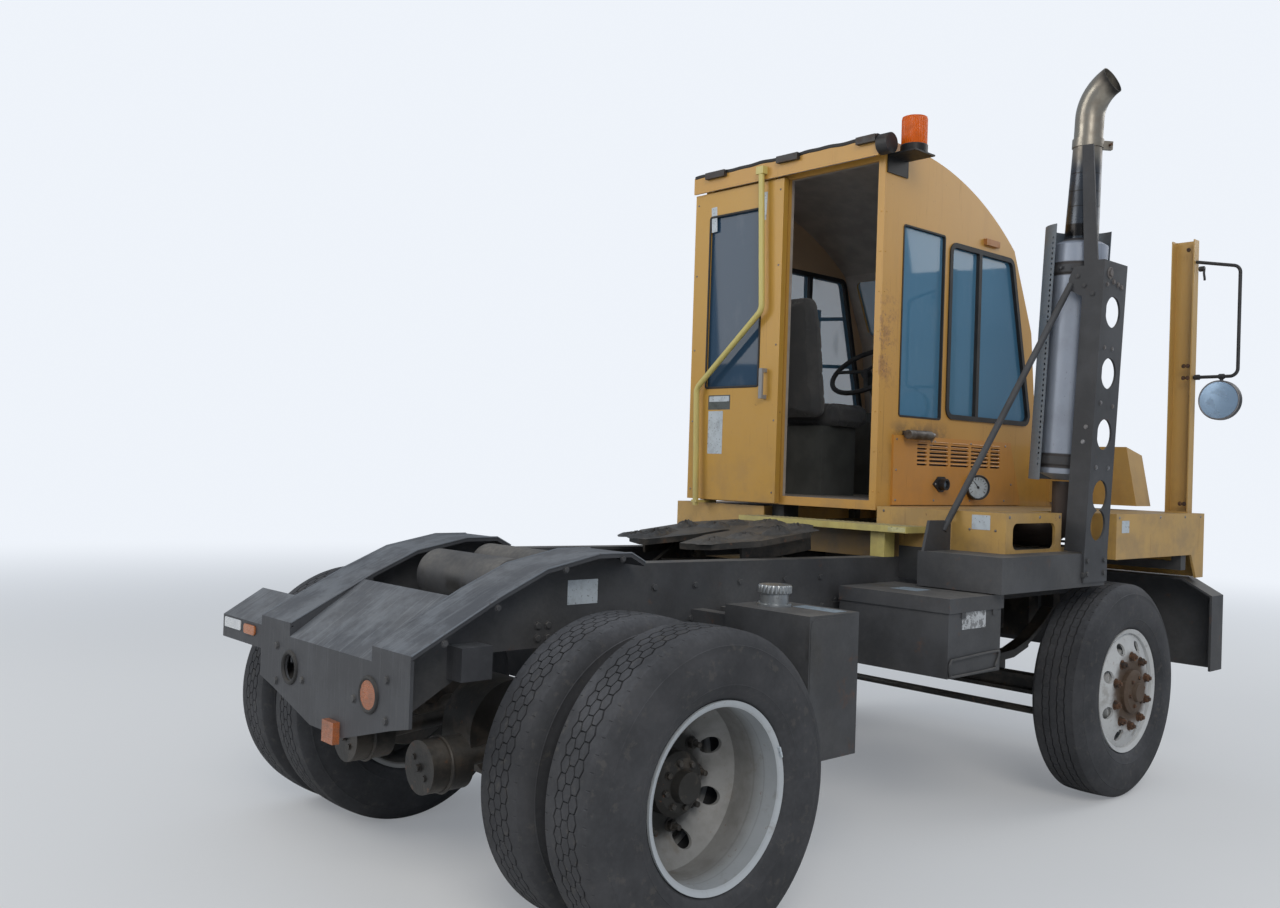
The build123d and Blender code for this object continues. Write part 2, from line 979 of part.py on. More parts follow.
def tie_rod():
    """Straight tube between two eyes that hang on the arms' pins."""
    x = wheelbase - steer_arm_back
    low = beam_boss_z[0] - knuckle_gap - knuckle_ear - steer_arm_drop - tie_eye_height - 2
    middle = low + tie_eye_height / 2
    bar = cross_bar(x, middle, (-kingpin_half, kingpin_half), tie_rod_radius)
    for side in (-1, 1):
        foot = (x, side * kingpin_half, low)
        bar += rod(foot, (x, side * kingpin_half, low + tie_eye_height), tie_eye_radius)
    for side in (-1, 1):
        foot = (x, side * kingpin_half, low - 1)
        bar -= rod(foot, (x, side * kingpin_half, low + tie_eye_height + 1), steer_pin_radius + 1)
    return bar


def front_springs():
    """Three-leaf packs between their hangers under each rail."""
    pack = None
    for number, count in enumerate(spring_leaves):
        rise = (len(spring_leaves) - 1 - number) * spring_leaf
        low = [(d, z + rise) for d, z in spring_line[:count]]
        line = [(-d, z) for d, z in reversed(low)] + low[1:]
        points = [(wheelbase + d, z) for d, z in line]
        points += [(wheelbase + d, z + spring_leaf) for d, z in reversed(line)]
        leaf = side_plate(points, spring_y)
        pack = leaf if pack is None else pack + leaf
    end, end_z = spring_line[-1]
    for side in (-1, 1):
        x = wheelbase + side * end
        pack += block((x - spring_hanger, x + spring_hanger), spring_y, (end_z, rail_bottom))
    return group(pack, mirrored(pack))


def engine():
    """Plain block with its sump and feet to the rails' webs."""
    body = block(engine_x, (-engine_half, engine_half), engine_z)
    body += block(sump_x, (-sump_half, sump_half), (engine_z[0] - sump_drop, engine_z[0]))
    inside = frame_half - rail_web
    body += block(engine_foot_x, (-inside, inside), engine_foot_z)
    return body


def driveline():
    """Gearbox cone and the shaft down to the axle's pinion."""
    box = Plane(origin=(gearbox_x, 0, gearbox_z), z_dir=(1, 0, 0)) * Cone(
        gearbox_radius[1], gearbox_radius[0], engine_x[0] - gearbox_x, align=from_foot
    )
    low = axle_height + pinion_rise
    shaft = rod((gearbox_x + 20, 0, gearbox_z), (pinion_length + 20, 0, low), shaft_radius)
    shaft += rod((pinion_length, 0, low), (pinion_length + 60, 0, low), shaft_radius)
    return box + shaft


def radiator():
    inside = frame_half - rail_web
    core = block(radiator_x, (-radiator_half, radiator_half), radiator_z)
    return core + block(radiator_x, (-inside, inside), radiator_foot_z)


def air_tank_pair():
    """Two round tanks across the frame on their saddles."""
    tanks = []
    for x, low in cross_places[:2]:
        z = low + cross_height + air_tank_radius
        half = air_tank_half
        face = make_face(
            Polyline(
                (x, -half - air_tank_dome, z),
                (x + air_tank_radius * 0.6, -half - air_tank_dome * 0.8, z),
                (x + air_tank_radius, -half, z),
                (x + air_tank_radius, half, z),
                (x + air_tank_radius * 0.6, half + air_tank_dome * 0.8, z),
                (x, half + air_tank_dome, z),
                close=True,
            )
        )
        tanks.append(revolve(face, axis=Axis((x, 0, z), (0, 1, 0))))
    return group(*tanks)


def oil_tank():
    """Upright tank outboard of the right rail with its filler cap and two brackets."""
    tank = block(oil_tank_x, (-side_out, -oil_tank_in), oil_tank_z)
    for x in (oil_tank_x[0] + 30, oil_tank_x[1] - 90):
        tank += block((x, x + 60), (-oil_tank_in, -frame_half), (rail_bottom + 20, rail_bottom + 90))
    cap = rod((*oil_cap, oil_tank_z[1]), (*oil_cap, oil_tank_z[1] + oil_cap_height), oil_cap_radius)
    return tank + cap


def battery_box():
    """Box with an overhanging lid outboard of the right rail."""
    box = block(battery_x, (-side_out, -battery_in), battery_z)
    lip = battery_lid_lip
    box += block(
        (battery_x[0] - lip, battery_x[1] + lip),
        (-side_out - lip, -battery_in),
        (battery_z[1] - 60, battery_z[1]),
    )
    for x in (battery_x[0] + 190, battery_x[1] - 80):
        box += block((x, x + 60), (-battery_in, -frame_half), (rail_bottom + 20, rail_bottom + 90))
    return box


def fuel_tank():
    """Round-cornered tank on the left with two straps, a cap and its brackets."""
    corner = fuel_tank_round
    middle = (fuel_tank_in + side_out) / 2
    height = sum(fuel_tank_z) / 2
    face = Plane(origin=(fuel_tank_x[0], middle, height), x_dir=(0, 1, 0), z_dir=(1, 0, 0))
    width = side_out - fuel_tank_in
    tank = extrude(face * RectangleRounded(width, span(fuel_tank_z), corner), amount=span(fuel_tank_x))
    for x in (fuel_tank_x[0] + 200, fuel_tank_x[1] - 420):
        outline = Plane(origin=(x, middle, height), x_dir=(0, 1, 0), z_dir=(1, 0, 0))
        big = RectangleRounded(width + 2 * strap_wall, span(fuel_tank_z) + 2 * strap_wall, corner + strap_wall)
        tank += extrude(outline * big, amount=strap_width)
        tank += block((x, x + strap_width), (frame_half, fuel_tank_in), (rail_bottom + 10, rail_bottom + 110))
    place = (fuel_tank_x[0] + 90, middle)
    top = fuel_tank_z[1]
    return tank + rod((*place, top - 1), (*place, top + fuel_cap_height), fuel_cap_radius)


def outrigger():
    """Platform off the right rail, open below, with its rear inner corner left out."""

    def outline(wall):
        rear, front = rig_x[0] + wall, rig_x[1] - wall
        out, inner = -rig_out + wall, -frame_half - wall
        notch_x, notch_y = rig_notch_x + wall, rig_notch_y - wall
        outer = [(rear, out), (front, out), (front, inner)]
        return outer + [(notch_x, inner), (notch_x, notch_y), (rear, notch_y)]

    box = flat_plate(outline(0), rig_z)
    return box - flat_plate(outline(rig_wall), (rig_z[0] - 1, rig_z[1] - rig_wall))


def deck_right():
    """Side deck over the outrigger, with the opening in its side panel and the notch for the exhaust."""
    inner = cab_right - deck_cab_gap
    x = (deck_x, fender_x)
    deck = block(x, (-deck_side, inner), (deck_top - deck_wall, deck_top))
    deck += block((deck_x, deck_x + deck_wall), (-deck_side, inner), (rig_z[1], deck_top))
    deck += block(x, (-deck_side, -deck_side + deck_wall), (rig_z[1], deck_top))
    hole_x = (side_hole_x, deck_notch_x[0] - 60)
    centre = (sum(hole_x) / 2, -deck_side - 1, sum(side_hole_z) / 2)
    hole = RectangleRounded(span(hole_x), span(side_hole_z), side_hole_round)
    deck -= extrude(Plane(origin=centre, x_dir=(1, 0, 0), z_dir=(0, -1, 0)) * hole, amount=40, both=True)
    deck -= block(deck_notch_x, (-deck_side - 1, -deck_notch_y), (rig_z[1] + 20, deck_top + 1))
    return deck


def fender(top, inner, start):
    """Front fender with its top, side, end and front faces, as it stands on the left."""
    low = fender_low
    side = side_plate(
        [
            (start, low),
            (start, top),
            (fender_front, top),
            (fender_front, fender_tip_low),
            (fender_tip_x[1], fender_tip_low),
            (fender_tip_x[0], low),
        ],
        (fender_side - deck_wall, fender_side),
    )
    part = side + block((start, fender_front), (inner, fender_side), (top - deck_wall, top))
    front = (max(inner, frame_half + 6), fender_side)
    part += block((fender_front - deck_wall, fender_front), front, (fender_tip_low, top))
    return part


def fender_right():
    part = mirrored(fender(deck_top, deck_cab_gap - cab_right, fender_x))
    return part + block((fender_x, fender_x + deck_wall), (-fender_side, -deck_side), (fender_low, deck_top))


def fender_left():
    part = fender(left_deck_top, left_deck_inner, deck_x)
    rear_wall = block((deck_x, deck_x + deck_wall), (left_deck_inner, fender_side), (fender_low, left_deck_top))
    return part + rear_wall


def fender_stays():
    """Arms from the rails' webs out to the fenders, and the one under the left deck's rear end."""

    def stay(x, top, reach):
        arm = block(x, (frame_half, reach), stay_z)
        return arm + block(x, (reach - 50, reach), (stay_z[0], top))

    right = mirrored(stay(stay_x, deck_top - deck_wall, fender_side - deck_wall))
    left = stay(stay_x, left_deck_top - deck_wall, fender_side - deck_wall)
    rear = stay(left_stay_x, left_deck_top - deck_wall, fender_side - deck_wall)
    return group(right, left, rear)


def front_bumper():
    """Bumper with its front face, top, ends and chamfered upper corners, open at the back."""
    cx, cz = bumper_chamfer
    low, top = bumper_z
    outline = [
        (-bumper_half, low),
        (-bumper_half, top - cz),
        (-bumper_half + cx, top),
        (bumper_half - cx, top),
        (bumper_half, top - cz),
        (bumper_half, low),
    ]
    t = bumper_wall
    inner = [
        (-bumper_half + t, low - 1),
        (-bumper_half + t, top - cz - t / 2),
        (-bumper_half + cx + t / 4, top - t),
        (bumper_half - cx - t / 4, top - t),
        (bumper_half - t, top - cz - t / 2),
        (bumper_half - t, low - 1),
    ]
    part = end_plate(outline, (bumper_back, front_x)) - end_plate(inner, (bumper_back - 1, front_x - t))
    for side in (-1, 1):
        y = sorted((side * (frame_half - rail_flange - glass_gap), side * (frame_half + glass_gap)))
        part -= block((bumper_back - 1, front_x - t), y, (low - 1, top + 1))
    return part


def grille():
    """Framed grille above the bumper, with open rows between its slats."""
    low, top = grille_z
    part = block(grille_x, (-grille_half, grille_half), (low, top))
    inner_low = low + grille_frame
    pitch = (top - grille_frame - inner_low) / (grille_slats + 1)
    for number in range(grille_slats + 1):
        z = inner_low + number * pitch
        part -= block(
            (grille_x[0] - 1, grille_x[1] + 1),
            (-grille_half + grille_frame, grille_half - grille_frame),
            (z, z + pitch - grille_slat),
        )
    return part


def headlamps():
    lamps = []
    for side in (-1, 1):
        y = side * headlamp_y
        place = Plane(origin=(front_x, y, sum(bumper_z) / 2), x_dir=(0, 1, 0), z_dir=(1, 0, 0))
        lamps.append(extrude(place * RectangleRounded(*headlamp_size, 20), amount=headlamp_depth))
    return group(*lamps)


def cab_pads():
    """Blocks on the rails under the cab's rear end."""
    x0, x1 = 2060, 2180
    top = cab_floor - glass_gap
    outline = [(x0, rail_top(x0)), (x0, top), (x1, top), (x1, rail_top(x1))]
    pad = side_plate(outline, (frame_half - 80, frame_half))
    return group(pad, mirrored(pad))


def mirror_post():
    """Yellow channel on the right fender, open towards the rear."""
    post = block(post_x, post_y, (deck_top, post_top))
    inside = (post_y[0] + post_wall, post_y[1] - post_wall)
    return post - block((post_x[0] - 1, post_x[1] - post_wall), inside, (deck_top + 8, post_top + 1))


def mirror_right():
    """Round mirror under a bent tube that stands out from the post."""
    x = sum(post_x) / 2
    out = -mirror_reach + 25
    top = mirror_arm_top
    path = [(x, post_y[0], top + 45), (x, out, top), (x, out, mirror_arm_low), (x, post_y[0], mirror_arm_low)]
    arm = tube_path(path, 40, mirror_tube_radius)
    mx, my, mz = mirror_centre
    arm += rod((x, my, mirror_arm_low), (x, my, mz), mirror_tube_radius)
    arm += rod((mx, my, mz), (mx + mirror_depth, my, mz), mirror_radius)
    arm -= block(post_x, post_y, (deck_top, post_top))
    return arm + rod((mx + mirror_depth - 1, my, mz), (x + 5, my, mz), 22)


def leaned(shape):
    """The exhaust group's lean outboard."""
    return Pos(0, lean_y, lean_z) * Rot(lean, 0, 0) * Pos(0, -lean_y, -lean_z) * shape


def exhaust_post():
    """Plate with lightening holes and a rear flange, off the outrigger's side, with the muffler's mounts."""
    x = exhaust_post_x
    wall = exhaust_post_wall
    face = -rig_out
    plate = block(x, (face - wall, face), (lean_z, exhaust_post_top))
    for z in post_holes:
        plate -= cross_bar(sum(x) / 2, z, (face - wall - 1, face + 1), post_hole_radius)
    plate += block((x[0], x[0] + wall), (face, face + exhaust_flange), (lean_z + 4, exhaust_post_top))
    plate += end_plate([(face + away, z) for away, z in gusset_line], (x[0], x[0] + wall))
    plate += stack_prop()
    pad_x = (stack_axis[0] - 45, stack_axis[0] + 45)
    pad_y = (face, stack_axis[1] - muffler_radius + 30)
    band_radius = muffler_radius + muffler_band + glass_gap
    for z in muffler_bands:
        top = z + muffler_band_height
        plate += block(pad_x, pad_y, (z, top))
        plate -= rod((*stack_axis, z - 1), (*stack_axis, top + 1), band_radius)
    return leaned(plate) + block(x, (face - wall, face), (exhaust_post_low, lean_z + 6))


def stack_prop():
    """Flat bar from the post's head up to the stack, just under its clamp."""
    head = stack_clamp - clamp_half - 2
    front = stack_axis[0] - stack_radius_at(head) - prop_gap
    rear = exhaust_post_x[0]
    leaning = [(rear, prop_low), (rear + prop_wall, prop_low), (front, head), (front - prop_wall, head)]
    strip = side_plate(leaning, (-rig_out, stack_axis[1]))
    foot_edges, head_edges = prop_edges
    outline = [
        (-rig_out + foot_edges[0], prop_low),
        (-rig_out + foot_edges[1], prop_low),
        (-rig_out + head_edges[1], head),
        (-rig_out + head_edges[0], head),
    ]
    return strip & end_plate(outline, (rear - 1, stack_axis[0]))


def stack_radius_at(z):
    """Radius of the stack's cone at height z, before the lean."""
    share = (z - muffler_z[1]) / (stack_cone_top - muffler_z[1])
    return stack_radius[0] + (stack_radius[1] - stack_radius[0]) * share


def muffler():
    low, high = muffler_z
    body = rod((*stack_axis, low + muffler_cap), (*stack_axis, high - muffler_cap), muffler_radius)
    up = Plane(origin=(*stack_axis, high - muffler_cap))
    down = Plane(origin=(*stack_axis, low + muffler_cap), z_dir=(0, 0, -1))
    for place, end in ((up, stack_radius[0]), (down, elbow_radius)):
        body += place * Cone(muffler_radius, end, muffler_cap, align=from_foot)
    for z in muffler_bands:
        body += rod((*stack_axis, z), (*stack_axis, z + muffler_band_height), muffler_radius + muffler_band)
    return leaned(body)


def exhaust_stack():
    """Tapered pipe with a hollow tip that bends outboard, and its clamp."""
    x, y = stack_axis
    low = muffler_z[1]
    cone = Plane(origin=(x, y, low)) * Cone(
        stack_radius[0], stack_radius[1], stack_cone_top - low, align=from_foot
    )
    turn = radians(tip_angle)
    half = turn / 2
    start = (x, y, stack_top)
    middle = (x, y - tip_bend * (1 - cos(half)), stack_top + tip_bend * sin(half))
    end = (x, y - tip_bend * (1 - cos(turn)), stack_top + tip_bend * sin(turn))

    def pipe(radius, foot):
        path = Line((x, y, foot), start) + ThreePointArc(start, middle, end)
        return sweep(Plane(origin=(x, y, foot)) * Circle(radius), path=path)

    stack = cone + pipe(stack_radius[1], stack_cone_top - 1)
    stack += rod((x, y, stack_clamp - clamp_half), (x, y, stack_clamp + clamp_half), stack_radius[1] + 6)
    reach, width = clamp_lug
    lug = Box(reach + 6, width, 2 * clamp_half, align=(Align.MIN, Align.CENTER, Align.CENTER))
    stack += Pos(x, y, stack_clamp) * Rot(0, 0, clamp_lug_angle) * Pos(stack_radius[1], 0, 0) * lug
    return leaned(stack - pipe(stack_radius[1] - pipe_wall, stack_top - 150))


def exhaust_elbow():
    """Pipe from the muffler's foot down through the deck and across to the engine."""
    x = stack_axis[0]
    y = stack_axis[1] - (muffler_z[0] - lean_z) * sin(radians(lean))
    path = [(x, y, muffler_z[0]), (x, y, elbow_z), (x, -engine_half, elbow_z)]
    return tube_path(path, elbow_bend, elbow_radius)


def heat_shield():
    """Curved guard round the inboard side of the muffler, with its columns of holes and distance pieces."""
    low, high = shield_z
    ring = rod((*stack_axis, low), (*stack_axis, high), shield_radius + shield_wall)
    ring -= rod((*stack_axis, low - 1), (*stack_axis, high + 1), shield_radius)
    x, y = stack_axis
    start, end = (radians(a) for a in shield_angles)
    far = 2 * shield_radius
    middle = (start + end) / 2
    points = [(x, y)]
    for turn in (start, (start + middle) / 2, middle, (end + middle) / 2, end):
        points.append((x + far * cos(turn), y + far * sin(turn)))
    guard = ring & flat_plate(points, (low, high))
    count = int(span(shield_hole_z) / shield_hole_pitch)
    holes = []
    for turn in shield_columns:
        dx, dy = cos(radians(turn)), sin(radians(turn))
        for number in range(count + 1):
            z = shield_hole_z[0] + number * shield_hole_pitch
            inside = (x + (shield_radius - 6) * dx, y + (shield_radius - 6) * dy, z)
            outside = (x + (shield_radius + 9) * dx, y + (shield_radius + 9) * dy, z)
            holes.append(rod(inside, outside, shield_hole))
    guard -= holes
    for z in muffler_bands:
        for turn in shield_feet:
            foot = muffler_radius + muffler_band + glass_gap
            place = Pos(x, y, z) * Rot(0, 0, turn) * Pos(foot, 0, 0)
            guard += place * Box(
                shield_radius + 1 - foot, 30, muffler_band_height, align=(Align.MIN, Align.CENTER, Align.MIN)
            )
    return leaned(guard)


def brace():
    """Rod from the post's flange down to a foot plate on the outrigger."""
    part = rod(brace_foot, brace_top, brace_radius)
    plate_y = brace_foot[1]
    outline = [
        (foot_x[0], rig_z[1]),
        (foot_x[0] + 40, foot_z),
        (foot_x[1], foot_z),
        (foot_x[1], rig_z[1]),
    ]
    part += side_plate(outline, (plate_y - foot_wall / 2, plate_y + foot_wall / 2))
    return part


def boom():
    """Two arms on the shaft's bosses with a deck, a rear head and the pins of the plate and the cylinders."""
    px, pz = boom_pivot_x, boom_pivot_z
    outline = [
        (px, pz + boom_boss_radius),
        (px - 200, boom_deck_z),
        (nod_head[1] + 45, boom_deck_z),
        (nod_head[1], nod_head_z),
        (nod_head[0], nod_head_z),
        (boom_tail_x, 1090),
        (boom_tail_x, 1020),
        (lift_eye_x - 30, 985),
        (lift_eye_x + 150, 1015),
        (px - 300, 1005),
        (px, pz - boom_boss_radius),
    ]
    arm = side_plate(outline, (boom_arm_inner, boom_arm_inner + boom_arm_wall))
    arm += cross_bar(px, pz, (boom_arm_inner, boom_arm_inner + boom_arm_wall + 20), boom_boss_radius)
    arm += cross_bar(nod_x, nod_z, (nod_lug_y[0] - 12, boom_arm_inner + 1), nod_pin_radius)
    ear = [
        (lift_eye_x - 60, boom_deck_z - boom_deck_wall),
        (lift_eye_x - 40, lift_eye_z - 40),
        (lift_eye_x + 40, lift_eye_z - 40),
        (lift_eye_x + 60, boom_deck_z - boom_deck_wall),
    ]
    arm += side_plate(ear, lift_ear_y)
    arm += cross_bar(lift_eye_x, lift_eye_z, (lift_ear_y[0], boom_arm_inner + 1), lift_pin_radius)
    inner = (-boom_arm_inner - 1, boom_arm_inner + 1)
    deck_front = px - 220
    deck_heights = (boom_deck_z - boom_deck_wall, boom_deck_z)
    deck = block((nod_head[1] + 60, deck_front), inner, deck_heights)
    deck += block((lift_eye_x - 90, nod_x - nod_lug_radius - 12), inner, deck_heights)
    head = block((boom_tail_x, boom_tail_x + 60), inner, (1020, 1080))
    front = cross_bar(px, pz, inner, boom_boss_radius)
    part = deck + front + head + arm + mirrored(arm)
    part += block((deck_front - 30, deck_front), inner, (1010, boom_deck_z))
    part += block((deck_front - 30, px), inner, (1010, 1030))
    return part - cross_bar(px, pz, (-frame_half, frame_half), boom_shaft_radius + 1)


def fifth_wheel():
    """Coupling plate with its throat, lock hole, skirts and lugs, level before it rests rear end down."""
    top = nod_z + plate_top_rise
    low = top - plate_wall
    x0, x1 = nod_x - plate_rear, nod_x + plate_front
    hole_x = nod_x
    gap = kingpin_radius
    start = nod_x - throat_start
    mouth = throat_half
    outline = [
        (x1, -plate_nose_half),
        (x1 - 180, -plate_half),
        (x0 + 220, -plate_half),
        (x0 + 40, -plate_horn_half),
        (x0, -mouth - 40),
        (x0, -mouth),
        (start, -gap),
        (hole_x, -gap),
        (hole_x, gap),
        (start, gap),
        (x0, mouth),
        (x0, mouth + 40),
        (x0 + 40, plate_horn_half),
        (x0 + 220, plate_half),
        (x1 - 180, plate_half),
        (x1, plate_nose_half),
    ]
    plate = flat_plate(outline, (low, top))
    plate -= rod((hole_x, 0, low - 1), (hole_x, 0, top + 1), kingpin_radius)
    for side in (-1, 1):
        y = sorted((side * plate_skirt_y[0], side * plate_skirt_y[1]))
        skirt = block((nod_x - plate_skirt_half, nod_x + plate_skirt_half), y, (low - plate_skirt, low + 1))
        plate += skirt
        y = sorted((side * nod_lug_y[0], side * nod_lug_y[1]))
        lug = block((nod_x - nod_lug_radius, nod_x + nod_lug_radius), y, (nod_z, low + 1))
        lug += cross_bar(nod_x, nod_z, y, nod_lug_radius)
        plate += lug - cross_bar(nod_x, nod_z, (y[0] - 1, y[1] + 1), nod_pin_radius + 1)
    ends = plate_skirt_y[0] + 1
    rib_x = (nod_x + plate_rib[0], nod_x + plate_rib[1])
    plate += block(rib_x, (-ends, ends), (low - plate_rib_depth, low + 1))
    return Pos(nod_x, 0, nod_z) * Rot(0, plate_tilt, 0) * Pos(-nod_x, 0, -nod_z) * plate


def lift_line():
    """Unit vector from the cylinder's base to its eye."""
    dx, dz = lift_eye_x - lift_base_x, lift_eye_z - lift_base_z
    length = hypot(dx, dz)
    return (dx / length, dz / length, length)


def along_lift(distance, y):
    ux, uz, _ = lift_line()
    return (lift_base_x + ux * distance, y, lift_base_z + uz * distance)


def lift_barrels():
    """Barrels on the cross tube, bored for their rods."""
    parts = []
    for y in (-lift_y, lift_y):
        barrel = rod(along_lift(30, y), along_lift(lift_barrel_length, y), lift_barrel_radius)
        half = lift_eye_width / 2
        barrel += cross_bar(lift_base_x, lift_base_z, (y - half, y + half), lift_eye_radius)
        barrel -= cross_bar(lift_base_x, lift_base_z, (y - half - 1, y + half + 1), lift_tube_radius + 1)
        gland = lift_barrel_length - lift_gland
        barrel -= rod(along_lift(lift_eye_radius + 14, y), along_lift(gland, y), lift_bore_radius)
        mouth = along_lift(lift_barrel_length + 1, y)
        barrel -= rod(along_lift(gland - 1, y), mouth, lift_rod_radius + 1)
        parts.append(barrel)
    return group(*parts)


def lift_rods():
    """Rods with open eyes around the boom's pins."""
    parts = []
    reach = lift_line()[2]
    for y in (-lift_y, lift_y):
        bar = rod(along_lift(lift_rod_inset, y), along_lift(reach - lift_eye_hole - 8, y), lift_rod_radius)
        half = lift_eye_width / 2
        bar += cross_bar(lift_eye_x, lift_eye_z, (y - half, y + half), lift_eye_radius)
        bar -= cross_bar(lift_eye_x, lift_eye_z, (y - half - 1, y + half + 1), lift_eye_hole)
        parts.append(bar)
    return group(*parts)


roof_front_z = roof_z - roof_radius + (roof_radius**2 - (roof_front_x - roof_flat_x) ** 2) ** 0.5
floor_top = cab_floor + cab_floor_wall
left_plane = Plane(origin=(0, (cab_left + cab_right) / 2, 0), z_dir=(0, 1, 0))


def roof_edges(y, inset):
    """Edges of the roof's line at y, from the rear to the front corner, moved in by inset."""
    centre_z = roof_z - roof_radius
    radius = roof_radius - inset
    whole = (roof_front_x - roof_flat_x) / roof_radius
    end = (roof_flat_x + radius * whole, y, centre_z + radius * (1 - whole**2) ** 0.5)
    part = whole * 0.55
    middle = (roof_flat_x + radius * part, y, centre_z + radius * (1 - part**2) ** 0.5)
    start = (roof_flat_x, y, roof_z - inset)
    return (cab_rear, y, roof_z - inset), start, middle, end


def cab_side(y):
    """Full side wall of the cab from y[0] to y[1], before its windows."""
    rear, start, middle, end = roof_edges(y[0], 0)
    points = [brow, sill, cowl_top, (cowl_top[0], cab_floor), (cab_rear, cab_floor)]
    tail = [end] + [(px, y[0], pz) for px, pz in points] + [rear, start]
    face = make_face([ThreePointArc(start, middle, end), *Polyline(*tail).edges()])
    return extrude(face, amount=span(y), dir=(0, 1, 0))


def pane_opening(kind, inset, y):
    """Prism of a side window's outline, moved in by inset."""
    if kind == "fixed":
        corner = max(pane_round - inset, 5)
        x0, x1 = side_pane_x[0] + inset, side_pane_x[1] - inset
        z0, z1 = side_pane_z[0] + inset, side_pane_z[1] - inset
        points = [(x0, z0), (x0, z1), (x1, z1), (x1, z0)]
    else:
        corner = max(slider_round - inset, 12)
        slope = (slider_x[1] - slider_front_top) / span(slider_z)
        more = inset * (1 + slope**2) ** 0.5
        z0, z1 = slider_z[0] + inset, slider_z[1] - inset
        points = [
            (slider_x[0] + inset, z0),
            (slider_x[0] + inset, z1),
            (slider_front_top - more + slope * inset, z1),
            (slider_x[1] - more - slope * inset, z0),
        ]
    wire = FilletPolyline(*[(px, y[0], pz) for px, pz in points], radius=corner, close=True)
    return extrude(make_face(wire), amount=span(y), dir=(0, 1, 0))


def cab_side_wall():
    """Right wall with its two windows."""
    y = (cab_right, cab_right + cab_wall)
    wall = cab_side(y)
    cut = (y[0] - 1, y[1] + 1)
    return wall - pane_opening("fixed", 0, cut) - pane_opening("slider", 0, cut)


def window_frames():
    """Proud frame of the slider with its bar, and the thin frame of the fixed pane, on the right."""
    y = (cab_right - frame_proud, cab_right + cab_wall)
    cut = (y[0] - 1, y[1] + 1)
    slider = pane_opening("slider", glass_gap, y) - pane_opening("slider", frame_width, cut)
    slider += block((slider_bar_x - 14, slider_bar_x + 14), y, (slider_z[0] + 10, slider_z[1] - 10))
    pane_y = (cab_right - pane_proud, cab_right + cab_wall)
    fixed = pane_opening("fixed", glass_gap, pane_y) - pane_opening("fixed", pane_edge, cut)
    return group(slider, fixed)


def side_glass():
    """Panes inside the frames of the right wall."""
    y = (cab_right + 12, cab_right + 12 + glass_wall)
    bar = (slider_bar_x - 14 - glass_gap, slider_bar_x + 14 + glass_gap)
    slider = pane_opening("slider", frame_width + glass_gap, y) - block(bar, (y[0] - 1, y[1] + 1), (1700, 2900))
    return group(slider, pane_opening("fixed", pane_edge + glass_gap, y))


def cab_roof():
    """Curved roof between the side walls."""
    y = (cab_right + cab_wall, cab_left - cab_wall)
    rear, start, middle, end = roof_edges(y[0], 0)
    rear2, start2, middle2, end2 = roof_edges(y[0], cab_wall)
    edges = [
        Line(rear, start),
        ThreePointArc(start, middle, end),
        Line(end, end2),
        ThreePointArc(end2, middle2, start2),
        Line(start2, rear2),
        Line(rear2, rear),
    ]
    return extrude(make_face(edges), amount=span(y), dir=(0, 1, 0))


def slab(start, end, wall, y):
    """Plate whose outer face runs from start to end in side view, with its thickness behind it."""
    dx, dz = end[0] - start[0], end[1] - start[1]
    length = hypot(dx, dz)
    nx, nz = dz / length * wall, -dx / length * wall
    return side_plate([start, end, (end[0] + nx, end[1] + nz), (start[0] + nx, start[1] + nz)], y)


def cab_front():
    """Two windscreen frames one above the other and the cowl below them."""
    y = (cab_right + cab_wall, cab_left - cab_wall)
    top = (roof_front_x, roof_front_z)
    front = slab(top, brow, cab_wall, y) + slab(brow, sill, cab_wall, y) + slab(sill, cowl_top, cab_wall, y)
    front += side_plate([sill, (sill[0] - cab_wall + 2, sill[1] + 8), (sill[0] - 20, sill[1] - 34)], y)
    reach = block((cab_rear, cowl_top[0]), y, (cab_floor, roof_z))
    front = front & reach
    roof = cab_roof()
    for place in windscreen_planes():
        plane, width, height = place
        front -= extrude(plane * RectangleRounded(width, height, 40), amount=cab_wall + 20, both=True)
    return front - roof


def windscreen_planes():
    """Plane, width and height of each windscreen opening, with the plane's z along the glass's normal."""
    result = []
    top = (roof_front_x, roof_front_z)
    for start, end in ((top, brow), (brow, sill)):
        dx, dz = end[0] - start[0], end[1] - start[1]
        length = hypot(dx, dz)
        centre = ((start[0] + end[0]) / 2, (cab_right + cab_left) / 2, (start[1] + end[1]) / 2)
        plane = Plane(origin=centre, x_dir=(0, 1, 0), z_dir=(-dz / length, 0, dx / length))
        width = cab_left - cab_right - 2 * cab_wall - 2 * windscreen_side
        result.append((plane, width, length - 2 * windscreen_edge))
    return result


def windscreens():
    panes = []
    for plane, width, height in windscreen_planes():
        gap = 2 * glass_gap
        inner = plane.offset(-12 - glass_wall)
        panes.append(extrude(inner * RectangleRounded(width - gap, height - gap, 40), amount=glass_wall))
    return group(*panes)


